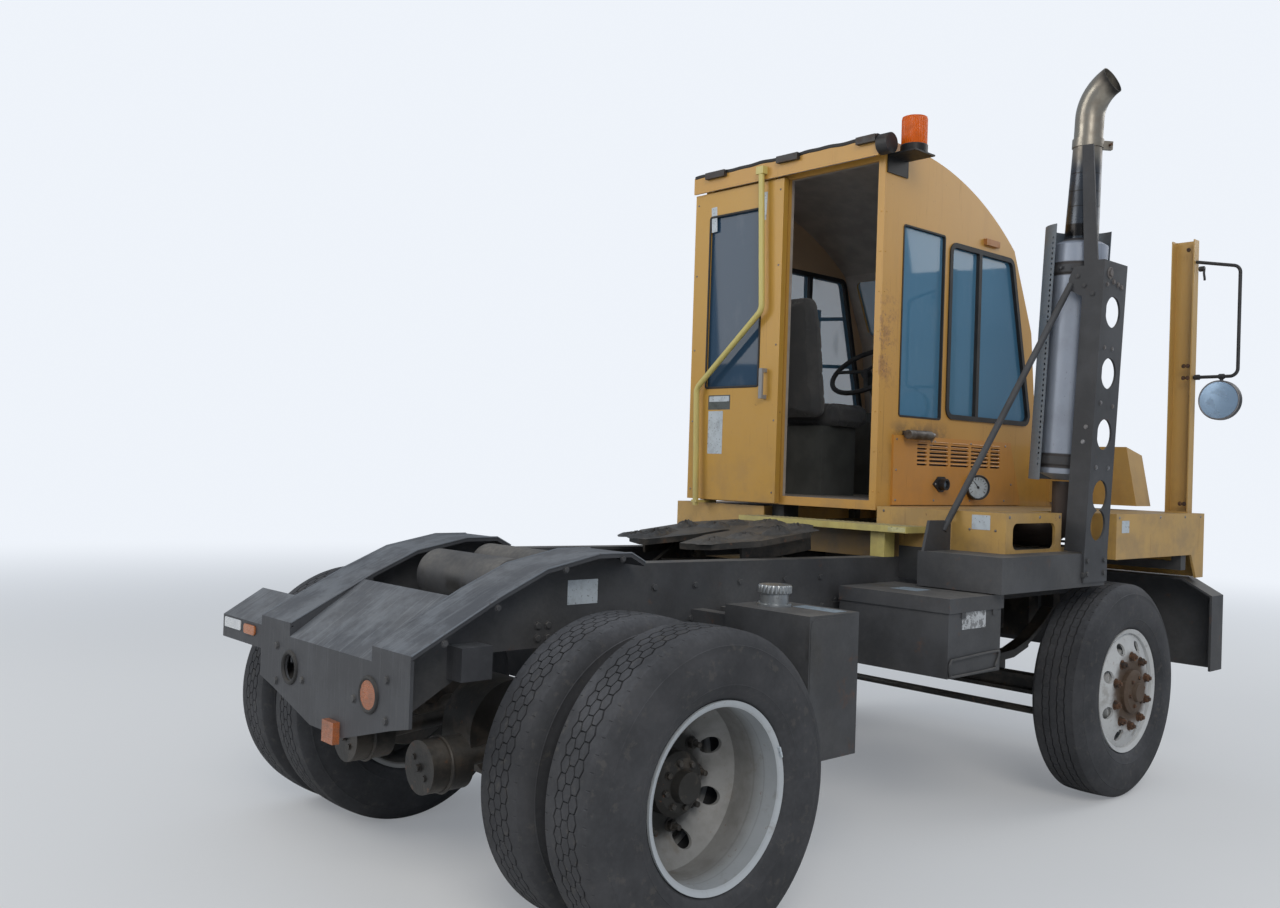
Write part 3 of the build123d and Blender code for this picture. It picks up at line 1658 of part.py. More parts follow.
def cab_nose():
    """Hollow nose ahead of the cab that runs out over the right fender with a slanted end."""
    left = cab_left
    top = [cowl_top, nose_front]

    def shape(inset, low, right):
        slope = (cowl_top[1] - nose_front[1]) / (nose_front[0] - cowl_top[0])
        x0, x1 = cowl_top[0] + inset, nose_front[0] - inset
        z0 = cowl_top[1] - slope * inset - inset
        z1 = nose_front[1] + slope * inset - inset
        prism = side_plate([(x0, low), (x0, z0), (x1, z1), (x1, low)], (-900, left - inset))
        rise = cowl_top[1] - floor_top
        lean_out = (right[1] - right[0]) / rise
        end = end_plate(
            [
                (right[0] + inset - 100 * lean_out, floor_top - 100),
                (right[1] + inset + 100 * lean_out, cowl_top[1] + 100),
                (-2000, cowl_top[1] + 100),
                (-2000, floor_top - 100),
            ],
            (3000, 4000),
        )
        return prism - end

    return shape(0, floor_top, nose_right) - shape(nose_wall, floor_top - 1, nose_right)


def cab_floor_plate():
    """Floor with the lugs that hang on the hinge pins."""
    y = (cab_right + cab_wall, cab_left - cab_wall)
    floor = block((cab_rear, nose_front[0]), y, (cab_floor, floor_top))
    floor += block((cowl_top[0], nose_front[0]), (cab_left - cab_wall - 1, cab_left), (cab_floor, floor_top))
    floor += block((cowl_top[0], nose_front[0]), (cab_right, cab_right + cab_wall + 1), (cab_floor, floor_top))
    front = (hinge_x - 10, nose_front[0] + 1)
    floor -= block(front, (left_deck_inner - 10, cab_left + 1), (cab_floor - 1, cab_floor + floor_notch))
    for side in (-1, 1):
        y_mid = side * hinge_y
        lug = side_plate(
            [
                (hinge_x - 60, cab_floor + 1),
                (hinge_x - 24, hinge_z - 22),
                (hinge_x + 24, hinge_z - 22),
                (hinge_x + 60, cab_floor + 1),
            ],
            (y_mid - hinge_ear / 2, y_mid + hinge_ear / 2),
        )
        floor += lug - cross_bar(hinge_x, hinge_z, (y_mid - 20, y_mid + 20), hinge_pin_radius + 0.5)
    return floor


def cab_rear_wall():
    """Wall left of the doorway with its pane, and the lintel over the doorway."""
    x = (cab_rear, cab_rear + cab_wall)
    left = cab_left - cab_wall
    wall = block(x, (door_way[1], left), (floor_top, roof_z - cab_wall))
    wall += block(x, (door_way[0], left), (door_way_top, roof_z - cab_wall))
    return wall - block((x[0] - 1, x[1] + 1), rear_pane_y, rear_pane_z)


def rear_glass():
    gap = glass_gap
    y = (rear_pane_y[0] + gap, rear_pane_y[1] - gap)
    return block((cab_rear + 12, cab_rear + 12 + glass_wall), y, (rear_pane_z[0] + gap, rear_pane_z[1] - gap))


def door():
    """Sliding door leaf with its window and handle."""
    x = (cab_rear - door_gap - 4 - door_wall, cab_rear - door_gap - 4)
    leaf = block(x, door_y, door_z) - block((x[0] - 1, x[1] + 1), door_pane_y, door_pane_z)
    handle_y, handle_z = 417, 1995
    leaf += block((x[0] - 30, x[0] + 1), (handle_y - 12, handle_y + 12), (handle_z + 60, handle_z + 80))
    leaf += block((x[0] - 30, x[0] + 1), (handle_y - 12, handle_y + 12), (handle_z - 80, handle_z - 60))
    leaf += block((x[0] - 42, x[0] - 30), (handle_y - 12, handle_y + 12), (handle_z - 80, handle_z + 80))
    for y in hanger_y:
        leaf += block((x[1] - 24, x[1]), (y - 30, y + 30), (door_z[1] - 1, track_z[1] - track_wall - glass_gap))
    return leaf


def door_glass():
    x = cab_rear - door_gap - 4 - door_wall / 2
    gap = glass_gap
    y = (door_pane_y[0] + gap, door_pane_y[1] - gap)
    return block((x - glass_wall / 2, x + glass_wall / 2), y, (door_pane_z[0] + gap, door_pane_z[1] - gap))


def door_track():
    """Hood over the door's top edge, along the roof's rear."""
    x = (cab_rear - door_gap - door_wall - 24, cab_rear)
    y = (cab_right, door_y[1])
    hood = block(x, y, (track_z[1] - track_wall, track_z[1]))
    return hood + block((x[0], x[0] + track_lip), y, (track_z[0], track_z[1]))


def grab_rail():
    """Bent rail behind the open door, from the hood to a foot under the floor."""
    points = [(grab_x, y, z) for y, z in grab_line]
    part = tube_path(points, 60, grab_radius)
    foot_y = grab_line[-1][0]
    part += block((grab_x - grab_radius, 2060), (foot_y - 20, foot_y + 20), (cab_floor - 14, cab_floor))
    part += rod((grab_x, foot_y, grab_line[-1][1]), (grab_x, foot_y, cab_floor - 1), grab_radius)
    top_y, top_z = grab_line[0]
    foot_x = (grab_x - 16, cab_rear - door_gap - door_wall - 24)
    return part + block(foot_x, (top_y - 25, top_y + 25), (top_z - 40, top_z))


def step():
    """Step behind the doorway on two posts off the rails."""
    part = block(step_x, step_y, step_z)
    for side in (-1, 1):
        y = sorted((side * (frame_half - 80), side * frame_half))
        x0, x1 = step_x[0] + 40, step_x[1] - 40
        top = step_z[0] + 1
        part += side_plate([(x0, rail_top(x0)), (x0, top), (x1, top), (x1, rail_top(x1))], y)
    return part


def hatch():
    """Raised panel low on the right wall with rows of louvre slots."""
    y = (cab_right - hatch_proud, cab_right)
    z0, z1 = hatch_z
    panel = side_plate([(hatch_x[0], z0), (hatch_x[0], z1), (hatch_x[1], z1), (hatch_x[2], z0)], y)
    full = (span(louvre_x) - (len(louvre_shares) - 1) * louvre_gap) / sum(louvre_shares)
    pitch = span(louvre_z) / louvre_rows
    for column, share in enumerate(louvre_shares):
        x = louvre_x[0] + full * sum(louvre_shares[:column]) + column * louvre_gap
        width = full * share
        for row in range(louvre_rows):
            z = louvre_z[0] + row * pitch
            panel -= block((x, x + width), (y[0] - 1, y[1] + 1), (z, z + louvre_slot))
    return panel


def seat_stand():
    """Suspension base under the seat."""
    x, y = seat_centre
    half = seat_base / 2
    return block((x - half, x + half), (y - half, y + half), (floor_top, seat_z[0] - glass_gap))


def seat():
    """Cushion and back."""
    x, y = seat_centre
    low, high = seat_z
    half = seat_width / 2
    part = block((x - seat_depth / 2, x + seat_depth / 2), (y - half, y + half), (low, high))
    back = x - seat_depth / 2
    part += side_plate(
        [
            (back, low),
            (back - 60, seat_back_top),
            (back - 60 + seat_back_wall, seat_back_top),
            (back + seat_back_wall, low),
        ],
        (y - half + 20, y + half - 20),
    )
    return part


def dash():
    """Dash across the front of the cab with the steering column."""
    y = (cab_right + cab_wall, cab_left - cab_wall)
    x_back = sill[0] - cab_wall - 6
    part = side_plate(
        [
            (dash_x, floor_top),
            (dash_x - 20, dash_z - dash_lip),
            (dash_x, dash_z - 60),
            (x_back - 30, sill[1] - 20),
            (x_back - 10, floor_top),
        ],
        y,
    )
    return part + rod(column_foot, wheel_centre, 30)


def steering_wheel():
    along = (Vector(*wheel_centre) - Vector(*column_foot)).normalized()
    hub = Vector(*wheel_centre) + along * glass_gap
    plane = Plane(origin=hub, z_dir=along)
    rim = plane.offset(30) * Torus(wheel_radius, wheel_rim)
    spokes = plane * Cylinder(wheel_hub, 30, align=from_foot)
    for turn in (90, 210, 330):
        spokes += plane.offset(30) * Rot(0, 0, turn) * Pos(wheel_radius / 2, 0, 0) * Box(wheel_radius, 24, 8)
    return rim + spokes


def beacon():
    """Beacon in its cup, on a shelf off the roof's right rear corner."""
    x, y = beacon_place
    foot = beacon_foot
    shelf = block(beacon_shelf_x, (y - 65, cab_right), (foot - beacon_shelf, foot))
    shelf += block(beacon_shelf_x, (cab_right - beacon_shelf, cab_right), (foot - beacon_skirt, foot))
    shelf += rod((x, y, foot - 1), (x, y, foot + beacon_cup), beacon_radius + 6)
    return shelf + rod((x, y, foot + beacon_cup), (x, y, foot + beacon_cup + beacon_height), beacon_radius)


def cab_fittings():
    """Gauge, socket, latch bar and side lamp on the right wall, work lamp and lamps on the hood."""
    panel = cab_right - hatch_proud
    x, z = gauge_centre
    turn = radians(gauge_turn)
    out = Vector(-sin(turn), -cos(turn), 0)
    face = Vector(x, panel, z) + out * gauge_reach
    back = face - out * (gauge_reach + gauge_radius)
    gauge = rod(back, face, gauge_radius) - rod(face - out * gauge_recess, face + out, gauge_radius - gauge_rim)
    gauge -= block((x - 300, x + 300), (panel, panel + 300), (z - 200, z + 200))
    x, z = socket_centre
    wide, tall = socket_flange
    outline = [(x - wide, z), (x - 28, z + tall), (x + 28, z + tall)]
    outline += [(x + wide, z), (x + 16, z - tall), (x - 16, z - tall)]
    flange = side_plate(outline, (panel - socket_flange_wall, panel))
    socket = flange + cross_bar(x, z, (panel - socket_reach, panel), socket_radius[0])
    socket -= cross_bar(x, z, (panel - socket_reach - 1, panel - 10), socket_radius[1])
    wall = cab_right - latch_foot - latch_radius
    latch = rod((latch_x[0], wall, latch_z), (latch_x[1], wall, latch_z), latch_radius)
    for end in (latch_x[0] + 20, latch_x[1] - 44):
        latch += block((end, end + latch_foot), (wall, cab_right), (latch_z, latch_z + latch_radius - 4))
    low, high = side_lamp_z
    lens = block(side_lamp_x, (cab_right - side_lamp_proud, cab_right), (low, high))
    x, z = work_lamp_place
    lamp = cross_bar(x, z, (cab_right - work_lamp_reach, cab_right), work_lamp_radius)
    hood_face = cab_rear - door_gap - door_wall - 24
    lamps = [block((hood_face - hood_lamp_depth, hood_face), y, hood_lamp_z) for y in hood_lamp_y]
    return group(gauge, socket, latch, lens, lamp, *lamps)


def mirror_left():
    """Tall mirror on two arms off the cab's left wall."""
    x = left_mirror_x
    y0, y1 = left_mirror_y
    low, high = left_mirror_z
    part = block((x, x + left_mirror_wall), left_mirror_y, left_mirror_z)
    for foot_x, z in left_mirror_feet:
        arm = rod((foot_x, cab_left, z), (x + left_mirror_wall / 2, y0 + 20, z), 12)
        part += arm - block((foot_x - 100, foot_x + 100), (cab_left - 50, cab_left), (z - 50, z + 50))
    return part


def to_left(shape):
    """The right wall's piece on the cab's left wall."""
    return mirror(shape, about=left_plane)


wall_piece = cab_side_wall()
frame_piece = window_frames()
glass_piece = side_glass()
floor_piece = cab_floor_plate() + cab_rear_wall()
nodes = {
    "frame_rails": frame_rails(),
    "crossmembers": group(crossmembers(), cab_hinge()),
    "frame_brackets": group(fender_stays(), cab_pads()),
    "pickup_ramps": pickup_ramps(),
    "tail_deck": group(tail_deck() + tail_brackets()),
    "lamps": group(tail_lamps(), headlamps()),
    "air_tanks": air_tank_pair(),
    "rear_axle": rear_axle(),
    "front_axle": front_axle() + front_springs(),
    "powertrain": group(engine() + driveline(), radiator()),
    "oil_tank": oil_tank(),
    "battery_box": battery_box(),
    "fuel_tank": fuel_tank(),
    "outrigger": outrigger(),
    "deck_right": deck_right(),
    "fender_right": fender_right() + mirror_post(),
    "fender_left": fender_left(),
    "front_bumper": front_bumper(),
    "grille": grille(),
    "mirror_right": mirror_right(),
    "exhaust_post": exhaust_post() + brace(),
    "muffler": muffler(),
    "exhaust_pipes": group(exhaust_stack(), exhaust_elbow()),
    "heat_shield": heat_shield(),
    "step": step(),
    "boom": boom(),
    "fifth_wheel": fifth_wheel(),
    "lift_barrels": lift_barrels(),
    "lift_rods": lift_rods(),
    "cab_floor": floor_piece,
    "cab_walls": group(wall_piece, to_left(wall_piece)),
    "cab_roof": cab_roof() + door_track(),
    "cab_front": cab_front(),
    "cab_nose": cab_nose(),
    "window_frames": group(frame_piece, to_left(frame_piece)),
    "cab_glass": group(glass_piece, to_left(glass_piece), windscreens(), rear_glass()),
    "hatch": hatch(),
    "cab_interior": group(seat_stand(), dash()),
    "seat": seat(),
    "cab_fittings": cab_fittings(),
    "grab_rail": grab_rail(),
    "beacon": beacon(),
    "mirror_left": mirror_left(),
    "door": door(),
    "door_glass": door_glass(),
    "steering_wheel": steering_wheel(),
    "tie_rod": tie_rod(),
}
for name, side in (("left", 1), ("right", -1)):
    nodes["rear_tyres_" + name] = rear_tyres(side)
    nodes["rear_wheels_" + name] = rear_rims(side) + rear_hub(side)
    nodes["front_tyre_" + name] = tyre(front_track_half, wheelbase, side)
    nodes["front_wheel_" + name] = front_rim(side) + front_hub(side)
    nodes["knuckle_" + name] = knuckle(side)

os.makedirs("parts", exist_ok=True)
for name, shape in nodes.items():
    moved = Pos(-origin_x, 0, 0) * shape
    export_step(moved, "parts/" + name + ".step")
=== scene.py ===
"""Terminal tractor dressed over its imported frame: finishes, fittings, camera and light."""
import math

import bmesh
import bpy
import numpy as np
from mathutils import Matrix, Vector


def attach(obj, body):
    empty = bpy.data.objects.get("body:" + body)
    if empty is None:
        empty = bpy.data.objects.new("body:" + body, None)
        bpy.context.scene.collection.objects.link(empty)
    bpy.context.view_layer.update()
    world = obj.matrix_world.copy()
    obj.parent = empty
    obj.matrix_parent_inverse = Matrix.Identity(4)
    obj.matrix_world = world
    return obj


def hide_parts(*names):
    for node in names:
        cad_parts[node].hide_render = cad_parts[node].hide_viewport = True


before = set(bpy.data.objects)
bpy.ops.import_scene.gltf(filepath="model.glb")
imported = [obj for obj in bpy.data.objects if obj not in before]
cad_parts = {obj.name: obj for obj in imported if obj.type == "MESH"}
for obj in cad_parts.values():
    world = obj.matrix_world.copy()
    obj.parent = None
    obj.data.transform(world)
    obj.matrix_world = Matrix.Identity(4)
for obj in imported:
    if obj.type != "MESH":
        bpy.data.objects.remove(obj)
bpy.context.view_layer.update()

# Metres. Heights are above the ground, and lengths run forward from the rear axle
AXLE_X = -1.5775  # rear axle in the frame
WHEELBASE = 2.946
HUB_Z = 0.52
FRONT_X = AXLE_X + WHEELBASE  # front axle in the frame
SIDES = ((-1, "right"), (1, "left"))

# Directions that the fittings stand in, and faces that they stand on, most of them 0.2 mm clear of the metal
OUT, BACK, UP = (0, -1, 0), (-1, 0, 0), (0, 0, 1)
CAB_SIDE, CAB_BACK, HATCH_FACE = -0.2802, 1.9998, -0.2920
RAIL_SIDE, DECK_SIDE, NOTCH_SIDE = 0.4322, -1.1002, -0.9802
TANK_SIDE, TANK_TOP, TAIL_FACE = -1.0502, 1.0252, -0.7202
POST_SIDE, POST_BACK = -1.11, 2.4698  # before the exhaust leans
PLATE_PIN = (1.250, 1.150)  # x, z that the coupling plate nods about
LEAN = 2.5  # degrees that the exhaust leans outboard
LEAN_FOOT = (-1.1, 1.2)  # y, z that it leans about
MUFFLER_AT = (2.620, -0.912)  # x, y of the muffler's axis, before the lean
BEACON_AT = (2.095, -0.375)
BEACON_FOOT = 3.141  # height where the cup ends and the lens begins
BACKDROP = (0.86, 0.90, 0.96)

# The photographer's place and aim, from the rear axle
EYE = (-2.56410227, -3.59246593, 1.53450165)
YAW, PITCH, ROLL = 47.78244753, 0.63153498, 1.8843393
FOCAL_PX, PHOTO_W = 1132.621265617957, 1280.0
SENSOR = 36.0


def at(x, y, z):
    """A point given from the rear axle, in the frame."""
    return (x + AXLE_X, y, z)


def place_camera():
    """Level heading, then pitch, then roll about the line of sight."""
    yaw, pitch, roll = map(math.radians, (YAW, PITCH, ROLL))
    look = Vector((math.cos(pitch) * math.cos(yaw), math.cos(pitch) * math.sin(yaw), math.sin(pitch)))
    side = look.cross(Vector((0, 0, 1))).normalized()
    up = side.cross(look)
    right = side * math.cos(roll) + up * math.sin(roll)
    top = up * math.cos(roll) - side * math.sin(roll)
    data = bpy.data.cameras.new("photo_camera")
    data.sensor_fit = "HORIZONTAL"
    data.sensor_width = SENSOR
    data.lens = FOCAL_PX * SENSOR / PHOTO_W
    data.clip_start, data.clip_end = 0.05, 200
    camera = bpy.data.objects.new("photo_camera", data)
    bpy.context.scene.collection.objects.link(camera)
    turn = Matrix((right, top, -look)).transposed().to_4x4()
    camera.matrix_world = Matrix.Translation(at(*EYE)) @ turn
    bpy.context.scene.camera = camera


place_camera()


def maths(operation, swapped=False):
    """A method that adds one Math node; swapped, the link's own value comes last."""

    def method(self, *others):
        values = (*others, self) if swapped else (self, *others)
        return self.finish.node("ShaderNodeMath", {"operation": operation}, *values)

    return method


class Link:
    """One output socket, on which Python's operators add Math nodes."""

    __add__ = __radd__ = maths("ADD")
    __mul__ = __rmul__ = maths("MULTIPLY")
    __sub__, __rsub__ = maths("SUBTRACT"), maths("SUBTRACT", swapped=True)
    __pow__, __abs__ = maths("POWER"), maths("ABSOLUTE")
    over = maths("GREATER_THAN")  # 1 where this is greater, else 0
    least, most, wave = maths("MINIMUM"), maths("MAXIMUM"), maths("SINE")

    def __init__(self, finish, socket):
        self.finish, self.socket = finish, socket

    def held(self):
        """Kept between 0 and 1."""
        return self.most(0.0).least(1.0)

    def ramp(self, low, high):
        """Smooth step from 0 at low to 1 at high."""
        return self.finish.node(
            "ShaderNodeMapRange", {"interpolation_type": "SMOOTHSTEP", "clamp": True}, self, low, high, 0.0, 1.0
        )


class Board:
    """A node tree being wired, for a material or the world."""

    def __init__(self, owner):
        owner.use_nodes = True
        self.tree = owner.node_tree
        self.tree.nodes.clear()
        self.seen = {}

    def put(self, socket, value):
        if isinstance(value, Link):
            self.tree.links.new(value.socket, socket)
        elif isinstance(value, (tuple, list)) and socket.type == "RGBA" and len(value) == 3:
            socket.default_value = (*value, 1.0)
        else:
            socket.default_value = value

    def node(self, kind, settings=None, *values, out=0, **named):
        """Adds a node, sets it, then gives its sockets values or links in order or by identifier."""
        node = self.tree.nodes.new(kind)
        for key, value in (settings or {}).items():
            if key == "stops":
                ramp = node.color_ramp.elements
                while len(ramp) < len(value):
                    ramp.new(0.5)
                for stop, (position, colour) in zip(ramp, value):
                    stop.position, stop.color = position, (*colour, 1.0)
            else:
                setattr(node, key, value)
        for socket, value in zip(node.inputs, values):
            self.put(socket, value)
        by_name = {socket.identifier: socket for socket in node.inputs}
        for key, value in named.items():
            self.put(by_name[key], value)
        if out is None:
            return node
        outputs = {socket.identifier: socket for socket in node.outputs}
        return Link(self, outputs[out] if isinstance(out, str) else node.outputs[out])

    def ray(self, *kinds):
        """1 for these kinds of ray."""
        node = self.node("ShaderNodeLightPath").socket.node
        parts = [Link(self, node.outputs[kind]) for kind in kinds]
        return sum(parts[1:], parts[0]).held()


SOCKETS = {
    "colour": "Base Color",
    "rough": "Roughness",
    "metal": "Metallic",
    "coat": "Coat Weight",
    "coat_rough": "Coat Roughness",
    "alpha": "Alpha",
    "glow": "Emission Color",
    "glow_strength": "Emission Strength",
    "normal": "Normal",
    "specular": "Specular IOR Level",
    "sheen": "Sheen Weight",
}


class Finish(Board):
    """A material being built, with the few nodes that most finishes share."""

    def __init__(self, name):
        self.material = bpy.data.materials.new(name)
        super().__init__(self.material)
        self.light = self.node("ShaderNodeBsdfPrincipled")
        self.out = self.node("ShaderNodeOutputMaterial", None, self.light, out=None)

    def place(self):
        """Object coordinates."""
        if "place" not in self.seen:
            self.seen["place"] = self.node("ShaderNodeTexCoord", out="Object")
        return self.seen["place"]

    def split(self, output):
        """x, y and z of one output of the coordinates."""
        if output not in self.seen:
            whole = self.node("ShaderNodeTexCoord", out=output)
            node = self.node("ShaderNodeSeparateXYZ", None, whole).socket.node
            self.seen[output] = tuple(Link(self, socket) for socket in node.outputs)
        return self.seen[output]

    def axes(self):
        """x, y and z of the object coordinates."""
        return self.split("Object")

    def facing(self):
        """x, y and z of the surface's normal."""
        return self.split("Normal")

    def stretched(self, stretch):
        """Object coordinates times a stretch along each axis."""
        return self.node("ShaderNodeMapping", None, self.place(), Scale=stretch)

    def noise(self, scale, detail=4.0, rough=0.55, stretch=None, twist=0.0):
        """Noise from about 0.2 to 0.8, at the given spots per metre."""
        where = self.stretched(stretch) if stretch else self.place()
        return self.node(
            "ShaderNodeTexNoise", None, Vector=where, Scale=scale, Detail=detail, Roughness=rough, Distortion=twist
        )

    def mix(self, amount, first, second):
        """Colour from first to second as amount goes from 0 to 1."""
        settings = {"data_type": "RGBA", "clamp_factor": True}
        sockets = {"Factor_Float": amount, "A_Color": first, "B_Color": second}
        return self.node("ShaderNodeMix", settings, out="Result_Color", **sockets)

    def bump(self, height, distance, strength):
        return self.node("ShaderNodeBump", None, Strength=strength, Distance=distance, Height=height)

    def surface(self, **sockets):
        """Gives the shader its values and returns the material."""
        for key, value in sockets.items():
            self.put(self.light.socket.node.inputs[SOCKETS[key]], value)
        return self.material

    def backdrop(self, colour, amount):
        """The camera sees this share of plain light in place of the surface."""
        plain = self.node("ShaderNodeEmission", None, colour, 1.0)
        share = self.ray("Is Camera Ray") * amount
        self.put(self.out.inputs[0], self.node("ShaderNodeMixShader", None, share, self.light, plain))


class Shape:
    """Points and faces gathered from grids, with a finish number for each face."""

    def __init__(self, points, faces, finish=0):
        self.points = np.asarray(points, float).reshape(-1, 3)
        self.faces = [tuple(face) for face in faces]
        self.finish = list(finish) if isinstance(finish, (list, tuple)) else [finish] * len(self.faces)

    def __add__(self, other):
        return joined([self, other])

    def placed(self, matrix):
        """Turned and moved by a 4 by 4 matrix."""
        turn = np.array(matrix)
        return Shape(self.points @ turn[:3, :3].T + turn[:3, 3], self.faces, self.finish)

    def moved(self, x, y, z):
        return Shape(self.points + np.array((x, y, z)), self.faces, self.finish)

    def on(self, spot, normal, spin=0.0):
        """Stood along a normal at a place given from the rear axle."""
        return self.placed(stand(at(*spot), normal, spin))


def joined(shapes):
    """All shapes as one, numbered once."""
    points, faces, finish, shift = [], [], [], 0
    for shape in shapes:
        points.append(shape.points)
        faces += [tuple(i + shift for i in face) for face in shape.faces]
        finish += shape.finish
        shift += len(shape.points)
    return Shape(np.vstack(points), faces, finish)


def grid(points, wrap_u=False, wrap_v=False, caps=False, finish=0):
    """Quads between neighbours of a grid of points (u, v, 3); caps close the first and last rows."""
    nu, nv = points.shape[:2]
    index = np.arange(nu * nv).reshape(nu, nv)
    ends = [tuple(index[0][::-1]), tuple(index[-1])] if caps else []
    if wrap_u:
        index = np.concatenate([index, index[:1]], 0)
    if wrap_v:
        index = np.concatenate([index, index[:, :1]], 1)
    quads = np.stack([index[:-1, :-1], index[1:, :-1], index[1:, 1:], index[:-1, 1:]], -1).reshape(-1, 4)
    return Shape(points, quads.tolist() + ends, finish)


def circle(steps):
    """Angles of even steps round a circle."""
    return np.linspace(0, 2 * np.pi, steps, endpoint=False)


def turned(profile, steps=32, finish=0, closed=False):
    """(radius, height) pairs turned about Z: (r cos t, r sin t, h); closed joins the last pair to the first."""
    radius, height = np.array(profile, float).T
    t = circle(steps)
    points = np.stack([np.outer(radius, np.cos(t)), np.outer(radius, np.sin(t)), np.outer(height, t * 0 + 1)], -1)
    return grid(points, wrap_u=closed, wrap_v=True, caps=not closed, finish=finish)


def ribbed(rows, ribs, ripple, above, steps):
    """(radius, height) pairs turned about Z, where radii over a limit ripple with the angle: r + a cos(n t)."""
    t = circle(steps)
    points = []
    for radius, height in rows:
        reach = radius + ripple * (radius > above) * np.cos(ribs * t)
        points.append(np.stack([reach * np.cos(t), reach * np.sin(t), t * 0 + height], -1))
    return grid(np.stack(points), wrap_v=True, caps=True)


def prism(outline, low, high, finish=0):
    """A closed (x, y) outline carried straight up from low to high."""
    flat = np.array(outline, float)
    rows = [np.column_stack([flat, np.full(len(flat), h)]) for h in (low, high)]
    return grid(np.stack(rows), wrap_v=True, caps=True, finish=finish)


def rounded(width, height, radius, steps=4):
    """Outline of a rounded rectangle about the origin: four quarter arcs."""
    arc = np.linspace(0, np.pi / 2, steps + 1)
    corners = []
    for quarter, (sx, sy) in enumerate(((1, 1), (-1, 1), (-1, -1), (1, -1))):
        turn = arc + quarter * np.pi / 2
        centre = (sx * (width / 2 - radius), sy * (height / 2 - radius))
        corners.append(np.column_stack([centre[0] + radius * np.cos(turn), centre[1] + radius * np.sin(turn)]))
    return np.vstack(corners)


def smooth_path(points, per=10):
    """Catmull-Rom curve through the points: a cubic of each four neighbours."""
    p = np.array(points, float)
    p = np.vstack([2 * p[0] - p[1], p, 2 * p[-1] - p[-2]])
    t = np.linspace(0, 1, per, endpoint=False)[:, None]
    spans = []
    for a, b, c, d in zip(p[:-3], p[1:-2], p[2:-1], p[3:]):
        spans.append(0.5 * (2 * b + (c - a) * t + (2 * a - 5 * b + 4 * c - d) * t**2 + (3 * b - a - 3 * c + d) * t**3))
    return np.vstack(spans + [p[-2][None]])


def carried(path, section, closed=False, up=UP, finish=0):
    """A closed (across, above) section carried along a path, square to it and kept upright."""
    path, section = np.array(path, float), np.array(section, float)
    if closed:
        ahead = np.roll(path, -1, 0) - np.roll(path, 1, 0)
    else:
        ahead = np.gradient(path, axis=0)
    ahead /= np.linalg.norm(ahead, axis=1)[:, None]
    across = np.cross(ahead, np.array(up, float))
    length = np.linalg.norm(across, axis=1)[:, None]
    across = np.where(length > 1e-6, across / np.maximum(length, 1e-6), (1.0, 0.0, 0.0))
    above = np.cross(across, ahead)
    points = path[:, None] + across[:, None] * section[None, :, :1] + above[:, None] * section[None, :, 1:]
    return grid(points, wrap_u=closed, wrap_v=True, caps=not closed, finish=finish)


def ring(radius, steps=12):
    """A round section."""
    t = circle(steps)
    return np.column_stack([radius * np.cos(t), radius * np.sin(t)])


def pipe(path, radius):
    """A round section carried along the smooth curve through a few points."""
    return carried(smooth_path(path, 8), ring(radius))


def stand(origin, normal, spin=0.0):
    """Matrix that stands a shape's Z along a normal at a point, spun about it."""
    z = Vector(normal).normalized()
    side = Vector((0, 0, 1)).cross(z) if abs(z.z) < 0.98 else Vector((0, 1, 0)).cross(z)
    x = side.normalized()
    y = z.cross(x)
    turn = Matrix((x, y, z)).transposed().to_4x4()
    return Matrix.Translation(Vector(origin)) @ turn @ Matrix.Rotation(spin, 4, "Z")


def bolt(size, height=None):
    """Hexagon head with a chamfered top on a round washer, standing on the origin."""
    high, low = height or size * 0.65, size * 0.14
    head = turned([(size, low), (size, high * 0.86), (size * 0.86, high), (0.001, high)], 6)
    return head + turned([(size * 1.28, 0), (size * 1.28, low), (size * 0.9, low)], 20)


def rivet(radius):
    """Low dome: a quarter ellipse turned."""
    t = np.linspace(0, np.pi / 2, 5)
    return turned(np.column_stack([radius * np.cos(t) + 1e-4, radius * 0.55 * np.sin(t)]), 12)


def scattered(shape, spots, normal, seed=0):
    """Copies of a shape at the spots, each spun by its own seeded angle."""
    spin = np.random.default_rng(seed).uniform(0, np.pi, len(spots))
    return joined([shape.placed(stand(spot, normal, angle)) for spot, angle in zip(spots, spin)])


def piece(name, shape, finishes, body="chassis", slot="black_frame", bevel=0.0, sharp=35.0, **more):
    """Makes the object: normals outwards, smooth under the sharp angle, finishes in order."""
    mesh = bpy.data.meshes.new(name)
    mesh.from_pydata(shape.points, [], shape.faces)
    finishes = finishes if isinstance(finishes, (list, tuple)) else [finishes]
    for finish in finishes:
        mesh.materials.append(finish)
    if len(finishes) > 1:
        mesh.polygons.foreach_set("material_index", np.array(shape.finish, np.int32))
    work = bmesh.new()
    work.from_mesh(mesh)
    bmesh.ops.recalc_face_normals(work, faces=work.faces)
    work.to_mesh(mesh)
    work.free()
    mesh.shade_smooth()
    mesh.set_sharp_from_angle(angle=math.radians(sharp))
    made = bpy.data.objects.new(name, mesh)
    bpy.context.scene.collection.objects.link(made)
    if more.get("thick"):
        shell = made.modifiers.new("shell", "SOLIDIFY")
        shell.thickness, shell.offset = more["thick"], more.get("offset", 0.0)
    if bevel:
        edge = made.modifiers.new("edge", "BEVEL")
        edge.width, edge.segments, edge.limit_method = bevel, 2, "ANGLE"
        edge.angle_limit = math.radians(30)
        edge.harden_normals = True
    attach(made, body)
    return made


def band(height, low, high, soft=0.004):
    """1 between two values, with soft edges."""
    return height.ramp(low - soft, low + soft) * (1.0 - height.ramp(high - soft, high + soft))


